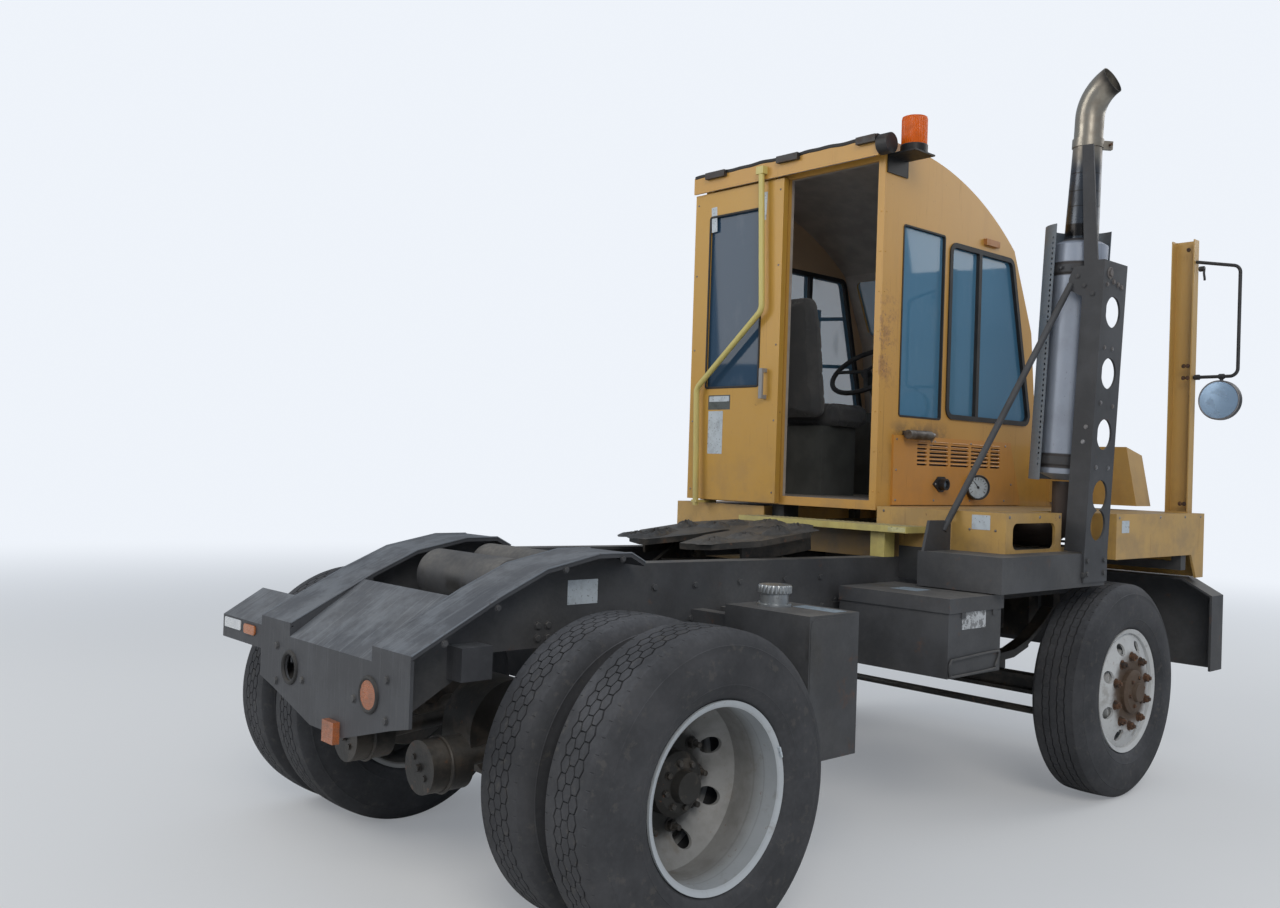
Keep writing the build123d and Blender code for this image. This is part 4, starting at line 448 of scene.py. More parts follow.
DUST = (0.250, 0.235, 0.210)
RUST = (0.17, 0.065, 0.025)
RUST_PALE = (0.36, 0.17, 0.07)
GREASE = (0.012, 0.011, 0.010)


def layered(finish, colour, rough, dust_level, dust_colour=DUST, dust_top=0.6):
    """Fine dust on a surface: more on faces that look up, broken by two noises."""
    up = finish.facing()[2].ramp(0.15, 0.95)
    cloud = finish.noise(2.6, 6.0, 0.62).ramp(0.36, 0.66)
    grit = finish.noise(60.0, 3.0).ramp(0.35, 0.7)
    dust = ((up * dust_top + dust_level) * (cloud * 0.6 + 0.4) * (grit * 0.35 + 0.65)).held()
    return finish.mix(dust, colour, dust_colour), rough + (0.92 - rough) * dust, dust


def inside_cab(f, kind):
    """1 on the faces that look into the cab: behind the walls' middle, under the roof or behind the front."""
    x, y, z = f.axes()
    nx, _, nz = f.facing()
    within = y.over(-0.262) * (0.902 - y).over(0.0)
    if kind == "walls":
        return (x - AXLE_X).over(2.02) * z.over(1.362) * within
    return ((nz if kind == "roof" else nx) * -1.0).over(0.1) * within


def yellow_paint(name, base=(0.57, 0.300, 0.052), dirt=0.35, inside=None, handle=False):
    """Sun-bleached yellow: faded top coat, brown runs, chips with rust and grime towards the ground."""
    f = Finish(name)
    x, y, z = f.axes()
    along = x - AXLE_X
    fade = f.noise(1.3, 5.0, 0.6).ramp(0.3, 0.72)
    body = f.mix(fade * 0.5, base, tuple(c * 1.12 + 0.012 for c in base))
    stain = f.noise(1.0, 5.0, 0.65, stretch=(7.0, 7.0, 0.9)).ramp(0.52, 0.72)
    body = f.mix(stain * 0.30, body, (0.46, 0.235, 0.04))
    streak = f.noise(1.0, 6.0, 0.7, stretch=(34.0, 34.0, 1.6), twist=0.4).ramp(0.60, 0.72)
    body = f.mix(streak * 0.38, body, (0.25, 0.12, 0.035))
    chips = f.noise(24.0, 5.0, 0.75).ramp(0.665, 0.70) * f.noise(1.7, 2.0).ramp(0.42, 0.6)
    rust = f.mix(f.noise(70.0, 3.0).ramp(0.35, 0.65), RUST, RUST_PALE)
    body = f.mix(chips, body, rust)
    low = (1.0 - (z - 1.15).ramp(0.0, 0.75)) * f.noise(5.0, 5.0, 0.65).ramp(0.38, 0.68)
    body = f.mix(low * dirt, body, (0.16, 0.12, 0.08))
    if inside:
        trim = f.mix(f.noise(9.0, 4.0).ramp(0.35, 0.7), (0.36, 0.31, 0.27), (0.46, 0.40, 0.35))
        if inside == "walls":
            trim = f.mix(y.over(0.85), trim, (0.58, 0.38, 0.22))
        body = f.mix(inside_cab(f, inside), body, trim)
    if inside == "walls":
        outer = (-0.272 - y).over(0.0)
        blooms = f.noise(9.0, 5.0, 0.75).ramp(0.50, 0.60) * 0.55 + f.noise(60.0, 4.0, 0.7).ramp(0.60, 0.66)
        patch = outer * (1.0 - along.ramp(2.03, 2.20)) * band(z, 1.98, 2.42, 0.10)
        body = f.mix(patch * blooms.held(), body, rust)
        grime = outer * band(z, 1.62, 1.79, 0.05) * along.ramp(2.05, 2.2) * (1.0 - along.ramp(2.5, 2.7))
        body = f.mix(grime * f.noise(12.0, 5.0, 0.7).ramp(0.35, 0.62) * 0.75, body, (0.10, 0.065, 0.035))
    if handle:
        body = f.mix((1.9525 - along).over(0.0), body, (0.26, 0.265, 0.27))
    body, rough, dust = layered(f, body, 0.42, 0.10, dust_top=0.35)
    height = f.noise(320.0, 2.0) * 0.3 + chips * -1.0 + f.noise(3.0, 2.0) * 2.0
    return f.surface(
        colour=body,
        rough=(rough + chips * 0.4 + streak * 0.15).held(),
        normal=f.bump(height, 0.0006, 0.5),
        coat=(0.20 - dust * 0.20 - chips * 0.20).held(),
        coat_rough=0.18,
    )


def black_steel(name, dusty=0.14, rusty=0.4):
    """Chassis black: chalky paint with rust blooms, oil darks and road dust."""
    f = Finish(name)
    chalk = f.noise(4.0, 5.0, 0.6).ramp(0.35, 0.7)
    body = f.mix(chalk * 0.6, (0.034, 0.036, 0.041), (0.072, 0.076, 0.085))
    bloom = f.noise(9.0, 6.0, 0.7).ramp(0.60, 0.72) * rusty
    body = f.mix(bloom, body, f.mix(f.noise(55.0, 3.0).ramp(0.4, 0.6), RUST, (0.10, 0.045, 0.022)))
    oil = f.noise(3.1, 4.0, 0.6, stretch=(1.0, 1.0, 0.5)).ramp(0.62, 0.72)
    body = f.mix(oil * 0.7, body, GREASE)
    body, rough, _ = layered(f, body, 0.58, dusty)
    height = f.noise(45.0, 6.0, 0.7) + f.noise(260.0, 2.0) * 0.25
    return f.surface(colour=body, rough=(rough - oil * 0.25 + bloom * 0.2).held(), normal=f.bump(height, 0.0012, 0.55))


def tyre_rubber(name):
    """Weathered rubber with browner scuffs and a bluish dust on faces that look up: partly real dust, partly a painted
    sky sheen.
    """
    f = Finish(name)
    cloud = f.noise(5.0, 5.0, 0.65).ramp(0.35, 0.68)
    body = f.mix(cloud * 0.6, (0.027, 0.028, 0.031), (0.056, 0.056, 0.060))
    scuff = f.noise(26.0, 4.0, 0.7).ramp(0.55, 0.7)
    body = f.mix(scuff * 0.35, body, (0.105, 0.095, 0.080))
    # The bluish dust colour is part dust, part painted sky sheen, strongest on faces that look up.
    body, rough, _ = layered(f, body, 0.78, 0.20, (0.150, 0.156, 0.172), 0.42)
    height = f.noise(150.0, 4.0, 0.7) * 0.5 + f.noise(14.0, 4.0) * 0.7
    return f.surface(colour=body, rough=rough, normal=f.bump(height, 0.0010, 0.5), specular=0.35)


def wheel_paint(name, axle, base, grime, greasy_radius, painted_shading=0.0):
    """Dusty pale wheel paint whose grime gathers towards the hub, by the distance from the axle, with a share of
    painted light: a painted sky highlight on the outer faces, painted shade in the rim's steps and in its well.
    """
    f = Finish(name)
    x, y, z = f.axes()
    reach = ((x - axle) ** 2.0 + (z - HUB_Z) ** 2.0) ** 0.5
    cloud = f.noise(6.0, 5.0, 0.65).ramp(0.32, 0.7)
    body = f.mix(cloud * 0.5, base, tuple(c * 0.72 for c in base))
    depth = abs(y)
    # lit: a painted sky highlight, pale blue, on the outermost faces of the wheel
    lit = depth.ramp(1.04, 1.14) * 0.8
    # step: painted shade in narrow rings at the rim's steps
    step = (band(depth, 1.072, 1.078) + band(depth, 1.118, 1.122, 0.003)).held()
    # painted shade in the rim's well, inside its lip and off the lit faces
    well_shade = (1.0 - reach.ramp(0.281, 0.288)) * (1.0 - lit)
    body = f.mix(lit * painted_shading, body, (0.46, 0.51, 0.56))
    body = f.mix(step * painted_shading * 0.5, body, (0.16, 0.165, 0.17))
    body = f.mix(well_shade * painted_shading * (cloud * 0.3 + 0.7), body, (0.115, 0.108, 0.098))
    near = 1.0 - (reach + f.noise(18.0, 4.0) * 0.07 - 0.035).ramp(greasy_radius, greasy_radius + 0.075)
    body = f.mix(near, body, grime)
    spots = f.noise(38.0, 5.0, 0.7).ramp(0.64, 0.70)
    body = f.mix(spots * 0.6, body, RUST)
    runs = f.noise(11.0, 5.0, 0.7).ramp(0.56, 0.7)
    body = f.mix(runs * 0.35, body, (0.15, 0.12, 0.09))
    height = f.noise(80.0, 4.0) * 0.6
    return f.surface(colour=body, rough=(cloud * 0.2 + 0.42 + near * 0.15).held(), normal=f.bump(height, 0.0008, 0.4))


def bright_steel(name, base, stain, rough=0.34, metal=0.9):
    """Bare metal: brushed marks, heat stains and soot."""
    f = Finish(name)
    brush = f.noise(1.0, 4.0, 0.6, stretch=(3.0, 3.0, 90.0))
    cloud = f.noise(4.5, 5.0, 0.6).ramp(0.42, 0.7)
    body = f.mix(brush.ramp(0.3, 0.7) * 0.2, base, tuple(c * 0.7 for c in base))
    body = f.mix(cloud * 0.6, body, stain)
    dots = f.noise(60.0, 4.0).ramp(0.62, 0.7)
    body = f.mix(dots * 0.4, body, (0.09, 0.06, 0.04))
    return f.surface(
        colour=body,
        metal=(metal - cloud * 0.4).held(),
        rough=(brush * 0.15 + rough - 0.06 + cloud * 0.25).held(),
        normal=f.bump(brush * 0.3 + dots * 0.4, 0.0004, 0.3),
    )


def upright_height(f):
    """Height along the leaning exhaust's own axis: the lean undone about its foot."""
    _, y, z = f.axes()
    turn = math.radians(LEAN)
    return (z - LEAN_FOOT[1]) * math.cos(turn) - (y - LEAN_FOOT[0]) * math.sin(turn) + LEAN_FOOT[1]


def muffler_steel(name):
    """Silver heat-proof paint, dark at both clamp bands and under the top rim."""
    f = Finish(name)
    rise = upright_height(f)
    cloud = f.noise(3.2, 5.0, 0.6).ramp(0.42, 0.72)
    body = f.mix(cloud * 0.45, (0.335, 0.375, 0.450), (0.215, 0.235, 0.275))
    run = f.noise(1.0, 5.0, 0.65, stretch=(30.0, 30.0, 2.0)).ramp(0.58, 0.72)
    body = f.mix(run * 0.4, body, (0.16, 0.135, 0.12))
    dark = (band(rise, 1.585, 1.655) + band(rise, 2.50, 2.565) + rise.ramp(2.655, 2.672)).held()
    body = f.mix(dark, body, (0.055, 0.050, 0.050))
    specks = f.noise(80.0, 4.0).ramp(0.66, 0.72)
    body = f.mix(specks * 0.3, body, (0.10, 0.06, 0.04))
    return f.surface(
        colour=body,
        metal=(0.35 - dark * 0.2).held(),
        rough=(cloud * 0.15 + 0.46 + dark * 0.2).held(),
        normal=f.bump(f.noise(30.0, 4.0) + specks, 0.0006, 0.35),
    )


def stack_steel(name):
    """Chromed pipe gone cream above the clamp, dark and banded below it, black with soot at the outlet."""
    f = Finish(name)
    _, y, z = f.axes()
    rise = upright_height(f)
    cloud = f.noise(5.0, 5.0, 0.62).ramp(0.4, 0.7)
    upper = f.mix(cloud * 0.7, (0.36, 0.335, 0.285), (0.17, 0.14, 0.11))
    lower = f.mix(cloud * 0.6, (0.070, 0.080, 0.095), (0.026, 0.026, 0.029))
    first, second, third = (band(rise, low, low + 0.004, 0.002) for low in (2.905, 2.832, 2.99))
    seam = (first + second + third).held()
    lower = f.mix(seam, lower, (0.03, 0.028, 0.027))
    body = f.mix((rise + f.noise(6.0, 3.0) * 0.06).ramp(3.03, 3.16), lower, upper)
    body = f.mix(band(rise, 2.690, 2.750, 0.003), body, (0.022, 0.021, 0.021))
    soot = ((z - 3.3) * 0.25 - y + f.noise(14.0, 4.0) * 0.05 - 0.025).ramp(1.095, 1.150)
    body = f.mix(soot, body, (0.022, 0.020, 0.018))
    low = 1.0 - rise.ramp(1.50, 1.54)
    body = f.mix(low * 0.85, body, (0.075, 0.052, 0.040))
    return f.surface(
        colour=body,
        metal=(0.75 - cloud * 0.3 - soot * 0.5 - low * 0.35).held(),
        rough=(cloud * 0.2 + 0.26 + soot * 0.4 + low * 0.35).held(),
        normal=f.bump(f.noise(26.0, 4.0) + seam * -1.0, 0.0008, 0.35),
    )


def dusty_plate(name):
    """Wear plates and tail deck: scraped grey steel under bright dust, black where the paint holds."""
    f = Finish(name)
    paint = f.noise(5.0, 6.0, 0.7).ramp(0.42, 0.62)
    body = f.mix(paint, (0.060, 0.066, 0.078), (0.145, 0.160, 0.180))
    drag = f.noise(1.0, 5.0, 0.7, stretch=(3.0, 60.0, 3.0), twist=0.2).ramp(0.52, 0.66)
    body = f.mix(drag * 0.45, body, (0.24, 0.26, 0.28))
    side = 1.0 - f.facing()[2].ramp(0.2, 0.7)
    body = f.mix(side * 0.85, body, (0.040, 0.041, 0.046))
    body, rough, _ = layered(f, body, 0.50, 0.05, (0.24, 0.245, 0.25), 0.40)
    height = f.noise(40.0, 6.0, 0.7) + drag * -0.5
    return f.surface(colour=body, rough=rough, normal=f.bump(height, 0.0012, 0.5))


def greasy_iron(name, base=(0.018, 0.017, 0.016)):
    """Running gear: thick grease with caked dust."""
    f = Finish(name)
    lump = f.noise(20.0, 6.0, 0.7)
    cake = f.noise(6.0, 5.0, 0.65).ramp(0.45, 0.62)
    body = f.mix(cake * 0.55, base, (0.085, 0.070, 0.055))
    body = f.mix(f.noise(33.0, 4.0).ramp(0.62, 0.7) * 0.5, body, (0.13, 0.06, 0.03))
    body, rough, _ = layered(f, body, 0.45, 0.04, dust_top=0.30)
    return f.surface(colour=body, rough=rough, normal=f.bump(lump, 0.004, 0.6))


def tinted_glass(name, tint=(0.092, 0.250, 0.400), clear=0.75, far=0.0, shine=0.6):
    """Tinted pane with dusty smears; on the cab's left side its alpha is lower by the value far."""
    f = Finish(name)
    smear = f.noise(7.0, 4.0, 0.6, stretch=(1.0, 1.0, 0.4)).ramp(0.55, 0.78)
    colour = f.mix(smear * 0.12, tint, (0.22, 0.24, 0.25))
    alpha = (smear * 0.08 + clear - f.axes()[1].over(0.90) * far).held()
    return f.surface(colour=colour, rough=(smear * 0.08 + 0.03).held(), alpha=alpha, specular=shine)


def moulded(name, base=(0.022, 0.022, 0.024), rough=0.5, grain=420.0):
    """Moulded plastic or rubber with a fine grain and faded patches."""
    f = Finish(name)
    fade = f.noise(8.0, 4.0).ramp(0.35, 0.7)
    body = f.mix(fade * 0.4, base, tuple(c * 1.7 + 0.015 for c in base))
    body, rough_out, _ = layered(f, body, rough, 0.05, dust_top=0.3)
    return f.surface(colour=body, rough=rough_out, normal=f.bump(f.noise(grain, 2.0), 0.0004, 0.4))


def chrome_rod(name):
    f = Finish(name)
    film = f.noise(12.0, 4.0).ramp(0.45, 0.7)
    colour = f.mix(film, (0.62, 0.62, 0.63), (0.12, 0.10, 0.08))
    return f.surface(colour=colour, metal=(1.0 - film * 0.6).held(), rough=film * 0.4 + 0.15)


def amber_lens(name, base=(0.95, 0.20, 0.012), glow=0.10):
    """Ribbed lamp plastic with a faint painted glow that stands for light passing through it."""
    f = Finish(name)
    dirt = f.noise(16.0, 4.0).ramp(0.5, 0.75)
    body = f.mix(dirt * 0.35, base, tuple(c * 0.45 for c in base))
    return f.surface(colour=body, rough=dirt * 0.3 + 0.22, glow=body, glow_strength=glow, coat=0.5)


def beacon_plastic(name):
    """Black shelf and cup below the beacon's foot, orange lens with upright ribs above it."""
    f = Finish(name)
    lens = f.axes()[2].over(BEACON_FOOT)
    dirt = f.noise(16.0, 4.0).ramp(0.5, 0.75)
    orange = f.mix(dirt * 0.4, (0.60, 0.100, 0.002), (0.28, 0.055, 0.004))
    black = f.mix(dirt * 0.5, (0.018, 0.018, 0.019), (0.06, 0.055, 0.05))
    body = f.mix(lens, black, orange)
    rough = (dirt * 0.25 + 0.45 - lens * 0.22).held()
    glow = f.mix(lens, (0.0, 0.0, 0.0), orange)
    return f.surface(colour=body, rough=rough, glow=glow, glow_strength=0.10, specular=0.3)


def fittings_plastic(name):
    """Black mouldings, with grey metal on the latch bar, a red lens on the side lamp and near-black on the hood's
    lamps.
    """
    f = Finish(name)
    x, _, z = f.axes()
    latch = z.over(1.700) * (1.0 - z.over(1.775)) * (x - AXLE_X).over(2.18)
    lens = z.over(2.78) * (1.0 - z.over(2.85))
    hood = z.over(3.147) * (1.0 - (x - AXLE_X).over(1.9245))
    fade = f.noise(30.0, 4.0).ramp(0.4, 0.7)
    body = f.mix(fade * 0.5, (0.020, 0.020, 0.022), (0.055, 0.053, 0.050))
    metal = f.mix(f.noise(22.0, 5.0, 0.7).ramp(0.4, 0.6), (0.115, 0.105, 0.095), (0.050, 0.036, 0.026))
    body = f.mix(latch, body, metal)
    body = f.mix(lens, body, (0.40, 0.17, 0.05))
    body = f.mix(hood, body, f.mix(fade, (0.020, 0.018, 0.018), (0.060, 0.042, 0.034)))
    return f.surface(colour=body, rough=fade * 0.2 + 0.42, normal=f.bump(f.noise(240.0, 2.0), 0.0004, 0.4))


def seat_cloth(name):
    """Charcoal weave: two crossed waves of thread, pilled and dusty."""
    f = Finish(name)
    x, y, z = f.axes()
    weave = ((x + z) * 2600.0).wave() * ((y - z) * 2600.0).wave()
    wear = f.noise(7.0, 5.0, 0.6).ramp(0.4, 0.7)
    body = f.mix(wear * 0.5, (0.048, 0.050, 0.053), (0.105, 0.103, 0.100))
    body = f.mix((weave * 0.5 + 0.5) * 0.25, body, (0.10, 0.10, 0.105))
    normal = f.bump(weave + f.noise(60.0, 3.0) * 2.0, 0.0006, 0.6)
    return f.surface(colour=body, rough=wear * 0.1 + 0.82, normal=normal, sheen=0.25)


def lamp_lenses(name):
    """Dull orange lenses at the tail under road film, clear ones in the bumper, both finely ribbed."""
    f = Finish(name)
    x, y, z = f.axes()
    film = f.noise(30.0, 5.0, 0.65).ramp(0.35, 0.7)
    orange = f.mix(film * 0.6, (0.40, 0.125, 0.045), (0.17, 0.095, 0.065))
    clear = f.mix(film * 0.3, (0.50, 0.53, 0.55), (0.24, 0.25, 0.25))
    body = f.mix((x - AXLE_X).over(0.5), orange, clear)
    ribs = (y * 900.0).wave() + (z * 900.0).wave()
    return f.surface(colour=body, rough=film * 0.3 + 0.2, normal=f.bump(ribs, 0.0006, 0.4), coat=0.3)


def blank_label(name, base=(0.52, 0.58, 0.63), worn=0.5):
    """Bare weathered sticker: faded, with a dirty film and scuffs."""
    f = Finish(name)
    film = f.noise(22.0, 5.0, 0.65).ramp(0.42, 0.7)
    body = f.mix(film * 0.45, base, tuple(c * 0.5 for c in base))
    scuff = f.noise(90.0, 3.0).ramp(0.62, 0.68)
    bare = (scuff + f.noise(34.0, 5.0, 0.7).ramp(0.48, 0.53) * (worn - 0.5) * 2.0).held()
    body = f.mix(bare * 0.8, body, (0.035, 0.033, 0.032))
    return f.surface(colour=body, rough=film * 0.3 + 0.38, normal=f.bump(film + scuff * -1.0, 0.0003, 0.3))


def mirror_face(name):
    # A painted reflection of the sky: pale blue on the mirror's face, darker in hazy patches
    f = Finish(name)
    haze = f.noise(18.0, 4.0).ramp(0.5, 0.75)
    colour = f.mix(haze * 0.3, (0.36, 0.52, 0.72), (0.20, 0.26, 0.33))
    return f.surface(colour=colour, metal=0.35, rough=haze * 0.15 + 0.22)


def rusty_iron(name):
    """Flaking brown scale over dark iron."""
    f = Finish(name)
    scale = f.noise(30.0, 6.0, 0.72)
    body = f.mix(scale.ramp(0.35, 0.62), (0.030, 0.024, 0.020), (0.115, 0.055, 0.028))
    body = f.mix(f.noise(90.0, 3.0).ramp(0.6, 0.68) * 0.6, body, RUST_PALE)
    return f.surface(colour=body, rough=scale * 0.2 + 0.68, normal=f.bump(scale, 0.003, 0.6))


YELLOW = yellow_paint("yellow_paint")
YELLOW_WALLS = yellow_paint("wall_paint", inside="walls")
YELLOW_ROOF = yellow_paint("roof_paint", inside="roof")
YELLOW_FRONT = yellow_paint("front_paint", (0.59, 0.355, 0.100), inside="front")
HATCH = yellow_paint("hatch_paint", (0.59, 0.262, 0.038), 0.25)
YELLOW_LOW = yellow_paint("yellow_deck_paint", (0.52, 0.315, 0.085), 0.42)
PALE = yellow_paint("pale_step_paint", (0.62, 0.53, 0.17), 0.35)
BLACK = black_steel("chassis_black")
BLACK_CLEAN = black_steel("post_black", dusty=0.05, rusty=0.2)
TYRE = tyre_rubber("tyre_rubber")
DUSTY = dusty_plate("dusty_plate")
GREASY = greasy_iron("greasy_iron")
GLASS = tinted_glass("tinted_glass", far=0.63)
GLASS_DOOR = tinted_glass("door_tint", (0.034, 0.072, 0.125), 0.955, shine=0.28)
PLASTIC = moulded("black_plastic")
RUBBER = moulded("window_rubber", (0.012, 0.012, 0.013), 0.6, 200.0)
MUFFLER = muffler_steel("muffler_steel")
SHIELD = bright_steel("shield_zinc", (0.215, 0.250, 0.290), (0.130, 0.138, 0.150), 0.5, metal=0.45)
STACK = stack_steel("stack_chrome")
ROD = chrome_rod("bright_rod")
AMBER = amber_lens("amber_lens", (0.42, 0.135, 0.040), 0.0)
LAMPS = lamp_lenses("lamp_lenses")
BEACON = beacon_plastic("beacon_plastic")
FITTINGS = fittings_plastic("fittings_plastic")
FABRIC = seat_cloth("seat_cloth")
LABEL = blank_label("blank_label")
LABEL_YELLOW = blank_label("yellow_label", (0.62, 0.58, 0.30))
# A faint painted glow on the reflector's pale lens
WHITE_LENS = amber_lens("white_lens", (0.62, 0.64, 0.66), 0.02)
MIRROR_SKY_PAINT = mirror_face("mirror_face")
BOLT = bright_steel("bolt_zinc", (0.30, 0.30, 0.31), (0.10, 0.07, 0.05), 0.42)
RUSTY = rusty_iron("rusty_iron")
TRIM = moulded("cab_trim", (0.062, 0.066, 0.063), 0.7, 200.0)
CAKED = greasy_iron("caked_grease", (0.020, 0.020, 0.021))
BAND = bright_steel("band_iron", (0.070, 0.072, 0.078), (0.045, 0.034, 0.028), 0.55, metal=0.3)
LABEL_DARK = blank_label("dark_label", (0.075, 0.090, 0.090))
LABEL_BLUE = blank_label("tank_label", (0.30, 0.37, 0.43))
LABEL_SCUFFED = blank_label("scuffed_label", (0.50, 0.52, 0.54), 0.9)
WORN = bright_steel("worn_edge", (0.22, 0.24, 0.265), (0.10, 0.10, 0.11), 0.45, metal=0.5)
FILLER = bright_steel("filler_plating", (0.40, 0.42, 0.43), (0.13, 0.11, 0.09), 0.34, metal=0.8)
# Yellow paint with a base far darker than the cab's, and heavy dirt; it covers the panel under the step
YELLOW_DARK_DIRTY = yellow_paint("dark_dirty_yellow", (0.26, 0.165, 0.060), 0.9)
PALE_WORN = yellow_paint("worn_step_paint", (0.42, 0.36, 0.15), 0.5)
DOOR_PAINT = yellow_paint("door_paint", (0.55, 0.298, 0.040), handle=True)
WHEEL_FRONT = wheel_paint("front_wheel_paint", FRONT_X, (0.56, 0.57, 0.57), (0.085, 0.055, 0.035), 0.135)
# The rear wheels take their painted highlight and shade at 0.72; the front wheels take none.
WHEEL_REAR = wheel_paint("rear_wheel_paint", AXLE_X, (0.42, 0.43, 0.43), (0.020, 0.019, 0.017), 0.150, 0.72)

FINISHES = {}
for material, names in (
    (BLACK, "frame_rails crossmembers frame_brackets air_tanks oil_tank battery_box fuel_tank"),
    (BLACK, "outrigger front_bumper grille lift_barrels"),
    (DUSTY, "pickup_ramps tail_deck"),
    (GREASY, "rear_axle front_axle powertrain boom fifth_wheel tie_rod knuckle_left knuckle_right"),
    (YELLOW_LOW, "deck_right fender_right fender_left cab_nose"),
    (YELLOW_WALLS, "cab_floor cab_walls"),
    (YELLOW_ROOF, "cab_roof"),
    (YELLOW_FRONT, "cab_front"),
    (HATCH, "hatch"),
    (PALE, "step grab_rail"),
    (PLASTIC, "mirror_right mirror_left steering_wheel"),
    (TYRE, "rear_tyres_left rear_tyres_right front_tyre_left front_tyre_right"),
    (WHEEL_REAR, "rear_wheels_left rear_wheels_right"),
    (WHEEL_FRONT, "front_wheel_left front_wheel_right"),
    (BLACK_CLEAN, "exhaust_post"),
    (MUFFLER, "muffler"),
    (STACK, "exhaust_pipes"),
    (SHIELD, "heat_shield"),
    (ROD, "lift_rods"),
    (LAMPS, "lamps"),
    (RUBBER, "window_frames"),
    (GLASS, "cab_glass"),
    (TRIM, "cab_interior"),
    (FABRIC, "seat"),
    (FITTINGS, "cab_fittings"),
    (BEACON, "beacon"),
    (DOOR_PAINT, "door"),
    (GLASS_DOOR, "door_glass"),
):
    FINISHES.update(dict.fromkeys(names.split(), material))
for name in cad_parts:
    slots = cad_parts[name].data.materials
    slots.clear()
    slots.append(FINISHES[name])


TREAD_BLOCKS = 64
TREAD_STEPS = np.array([0.0, 0.03, 0.07, 0.10, 0.5, 0.53, 0.57, 0.60])  # places within one block's pitch
# mm from the middle, sway of the zigzag, depth, and a cut across: 1 at a pitch's start, 2 at its half, 3 shallow
BLOCK_TREAD = [
    (0, 0, 0, 1), (9, 2, 0, 1), (13, 4, 0, 1), (14.2, 4, 8, 0), (17.4, 4, 8, 0), (18.6, 4, 0, 2), (31, 0, 0, 2),
    (42.4, -5, 0, 2), (43.6, -5, 8, 0), (48, -5, 8, 0), (49.2, -5, 0, 0), (62, 0, 0, 0), (78, 0, 0, 0),
    (88, 0, 0, 3),
]
RIB_TREAD = [
    (0, 0, 0, 0), (15, 2, 0, 0), (16.4, 2, 9, 0), (20.6, 2, 9, 0), (22, 2, 0, 0), (36, 0, 0, 3), (50, 2, 0, 0),
    (51.4, 2, 9, 0), (56, 2, 9, 0), (57.4, 2, 0, 0), (70, 0, 0, 0), (82, 0, 0, 0), (89, 0, 0, 3),
]
SIDEWALL = [  # mm from the middle, radius
    (94.5, 516.2), (100, 512), (106, 505.5), (113, 496.5), (119.5, 486), (124.8, 473), (127.4, 471),
    (127.6, 468.5), (127.2, 466), (132.5, 449), (136.6, 430), (138.9, 408), (139.3, 385), (137.6, 364),
    (135.4, 352), (136.2, 349.5), (134.0, 346.5), (129.5, 331), (122, 316.5), (115.2, 308), (113.4, 306.8),
    (110, 303.2), (105.4, 301.6), (103, 292.5),
]


def tyre_shell(middle, axle_x, side, tread):
    """Section (distance, radius) swung round the axle; each tread line sways to and fro and loses its groove's depth.

    Sway is a triangle wave, -1 at a pitch's start and 1 at its half, so neighbouring rows make staggered
    six-sided blocks.
    """
    turn = ((np.arange(TREAD_BLOCKS)[:, None] + TREAD_STEPS) / TREAD_BLOCKS).ravel() * 2 * np.pi
    step = np.tile(TREAD_STEPS, TREAD_BLOCKS)
    sway = 1 - 2 * np.abs(2 * ((step - 0.05) % 1.0) - 1)
    cuts = {0: step * 0, 1: (step > 0.01) & (step < 0.09), 2: (step > 0.51) & (step < 0.59)}
    cuts[3] = cuts[1] * 0.5
    away, radius = [], []
    for spot, swing, depth, cut in tread:
        away.append(spot + swing * sway)
        radius.append(520 - 3.5 * (spot / 95) ** 2 - depth - 7 * cuts[cut])
    for spot, reach in SIDEWALL:
        away.append(spot + 0 * sway)
        radius.append(reach + 0 * sway)
    away = np.array([-line for line in away[:0:-1]] + away) / 1000
    radius = np.array(radius[:0:-1] + radius) / 1000
    points = np.stack([axle_x + radius * np.cos(turn), side * (middle + away), HUB_Z + radius * np.sin(turn)], -1)
    return grid(points, wrap_u=True, wrap_v=True)


def tyres():
    """Worn block tread on the four rear tyres and ribs on the front two."""
    for side, name in SIDES:
        pair = [tyre_shell(middle, AXLE_X, side, BLOCK_TREAD) for middle in (0.739, 1.069)]
        rear = piece("tread_rear_" + name, joined(pair), TYRE, "rear_wheels_" + name, "tyre", sharp=28.0)
        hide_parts("rear_tyres_" + name)
        shell = tyre_shell(0.999, FRONT_X, side, RIB_TREAD)
        front = piece("tread_front_" + name, shell, TYRE, "front_wheel_" + name, "tyre", sharp=28.0)
        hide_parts("front_tyre_" + name)


tyres()


def circle_spots(centre, radius, count, phase=0.0):
    """Points round a circle about a line along Y."""
    turn = phase + circle(count)
    x, y, z = centre
    return np.stack([x + radius * np.cos(turn), np.full(count, y), z + radius * np.sin(turn)], -1)


def stud_nut(reach):
    """Hexagon nut with its stud: a thread's ridges as a zigzag profile turned."""
    ridges = np.arange(0.024, reach, 0.0015)
    thread = [(0.0098 - 0.0008 * (k % 2), h) for k, h in enumerate(ridges)]
    return bolt(0.0185, 0.022) + turned([(0.0098, 0.0)] + thread + [(0.0085, reach), (0.0005, reach + 0.001)], 12)


